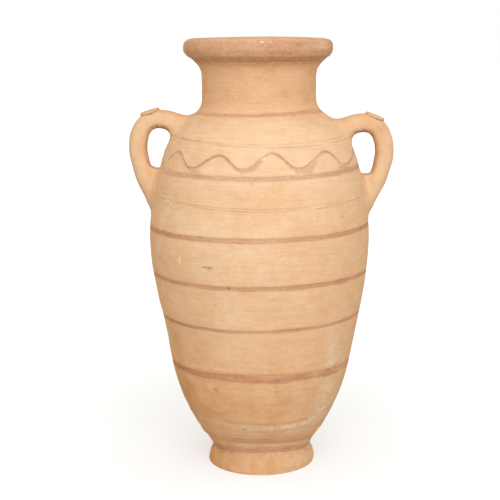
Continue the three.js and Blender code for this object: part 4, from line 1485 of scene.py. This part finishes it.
# How the floor glows round the pot and far off, and the distances between which it changes
FLOOR_GLOW_NEAR = 0.35
FLOOR_GLOW_FAR = 0.62
FLOOR_GLOW_REACH = (0.25, 1.2)
FILL_COLOUR = (1, 0.88, 0.74, 1)
FILL_LIGHT = 0.72
KEY_COLOUR = (0.89, 0.95, 1)
KEY_PLACE = Vector((0.28, -3, 1.5))
KEY_AIM = Vector((0, 0, 0.38))
KEY_SIZE = 3.6
KEY_POWER = 61
CAMERA_PLACE = Vector((-0.01636, -1.8818, 0.700))
CAMERA_PITCH = math.radians(10.37)
CAMERA_ROLL = math.radians(-0.43)
FOCAL_PIXELS = 1166
IMAGE_PIXELS = 500
SENSOR = 36


def seen_or_bounced(shader):
    """1 for rays that show a surface to the camera, directly or mirrored, and 0 for light that it bounces."""
    path = shader.node("LightPath").outputs
    seen = shader.math("MAXIMUM", path["Is Camera Ray"], path["Is Glossy Ray"])
    return shader.math("MAXIMUM", seen, path["Is Transmission Ray"])


def make_floor():
    mesh = bpy.data.meshes.new("floor")
    half = FLOOR_SIZE / 2
    corners = [(-half, -half, 0), (half, -half, 0), (half, half, 0), (-half, half, 0)]
    mesh.from_pydata(corners, [], [(0, 1, 2, 3)])
    shader = Shader(bpy.data.materials.new("pale_floor"))
    seen = seen_or_bounced(shader)
    colour = shader.mix(seen, FLOOR_BOUNCE, FLOOR_SEEN)
    matt = shader.node("BsdfDiffuse", {"Color": colour})
    place = shader.node("TexCoord").outputs["Object"]
    away = shader.node("VectorMath", {0: place}, operation="LENGTH").outputs["Value"]
    strength = shader.range(away, *FLOOR_GLOW_REACH, FLOOR_GLOW_NEAR, FLOOR_GLOW_FAR)
    glow = shader.node("Emission", {"Strength": shader.times(seen, strength)})
    both = shader.node("AddShader", {0: matt.outputs[0], 1: glow.outputs[0]})
    shader.node("OutputMaterial", {"Surface": both.outputs[0]})
    mesh.materials.append(shader.owner)
    floor = add_object("floor", mesh)


def make_world():
    """Warm fill from all round that the camera sees as plain white."""
    shader = Shader(bpy.data.worlds.new("studio"))
    fill = shader.node("Background", {"Color": FILL_COLOUR, "Strength": FILL_LIGHT})
    white = shader.node("Background", {"Color": (1, 1, 1, 1)})
    shares = {0: seen_or_bounced(shader), 1: fill.outputs[0], 2: white.outputs[0]}
    mixed = shader.node("MixShader", shares)
    shader.node("OutputWorld", {"Surface": mixed.outputs[0]})
    bpy.context.scene.world = shader.owner


def make_key_light():
    data = bpy.data.lights.new("key", "AREA")
    data.shape = "DISK"
    data.size = KEY_SIZE
    data.energy = KEY_POWER
    data.color = KEY_COLOUR
    lamp = add_object("key", data)
    lamp.location = KEY_PLACE
    lamp.rotation_euler = (KEY_AIM - KEY_PLACE).to_track_quat("-Z", "Y").to_euler()


def make_camera():
    data = bpy.data.cameras.new("camera")
    data.sensor_width = SENSOR
    data.lens = SENSOR * FOCAL_PIXELS / IMAGE_PIXELS
    camera = add_object("camera", data)
    turn = Matrix.Rotation(math.pi / 2 - CAMERA_PITCH, 4, "X") @ Matrix.Rotation(CAMERA_ROLL, 4, "Z")
    camera.matrix_world = Matrix.Translation(CAMERA_PLACE) @ turn
    bpy.context.scene.camera = camera


make_floor()
make_world()
make_key_light()
make_camera()
bpy.context.scene.view_settings.view_transform = "Standard"
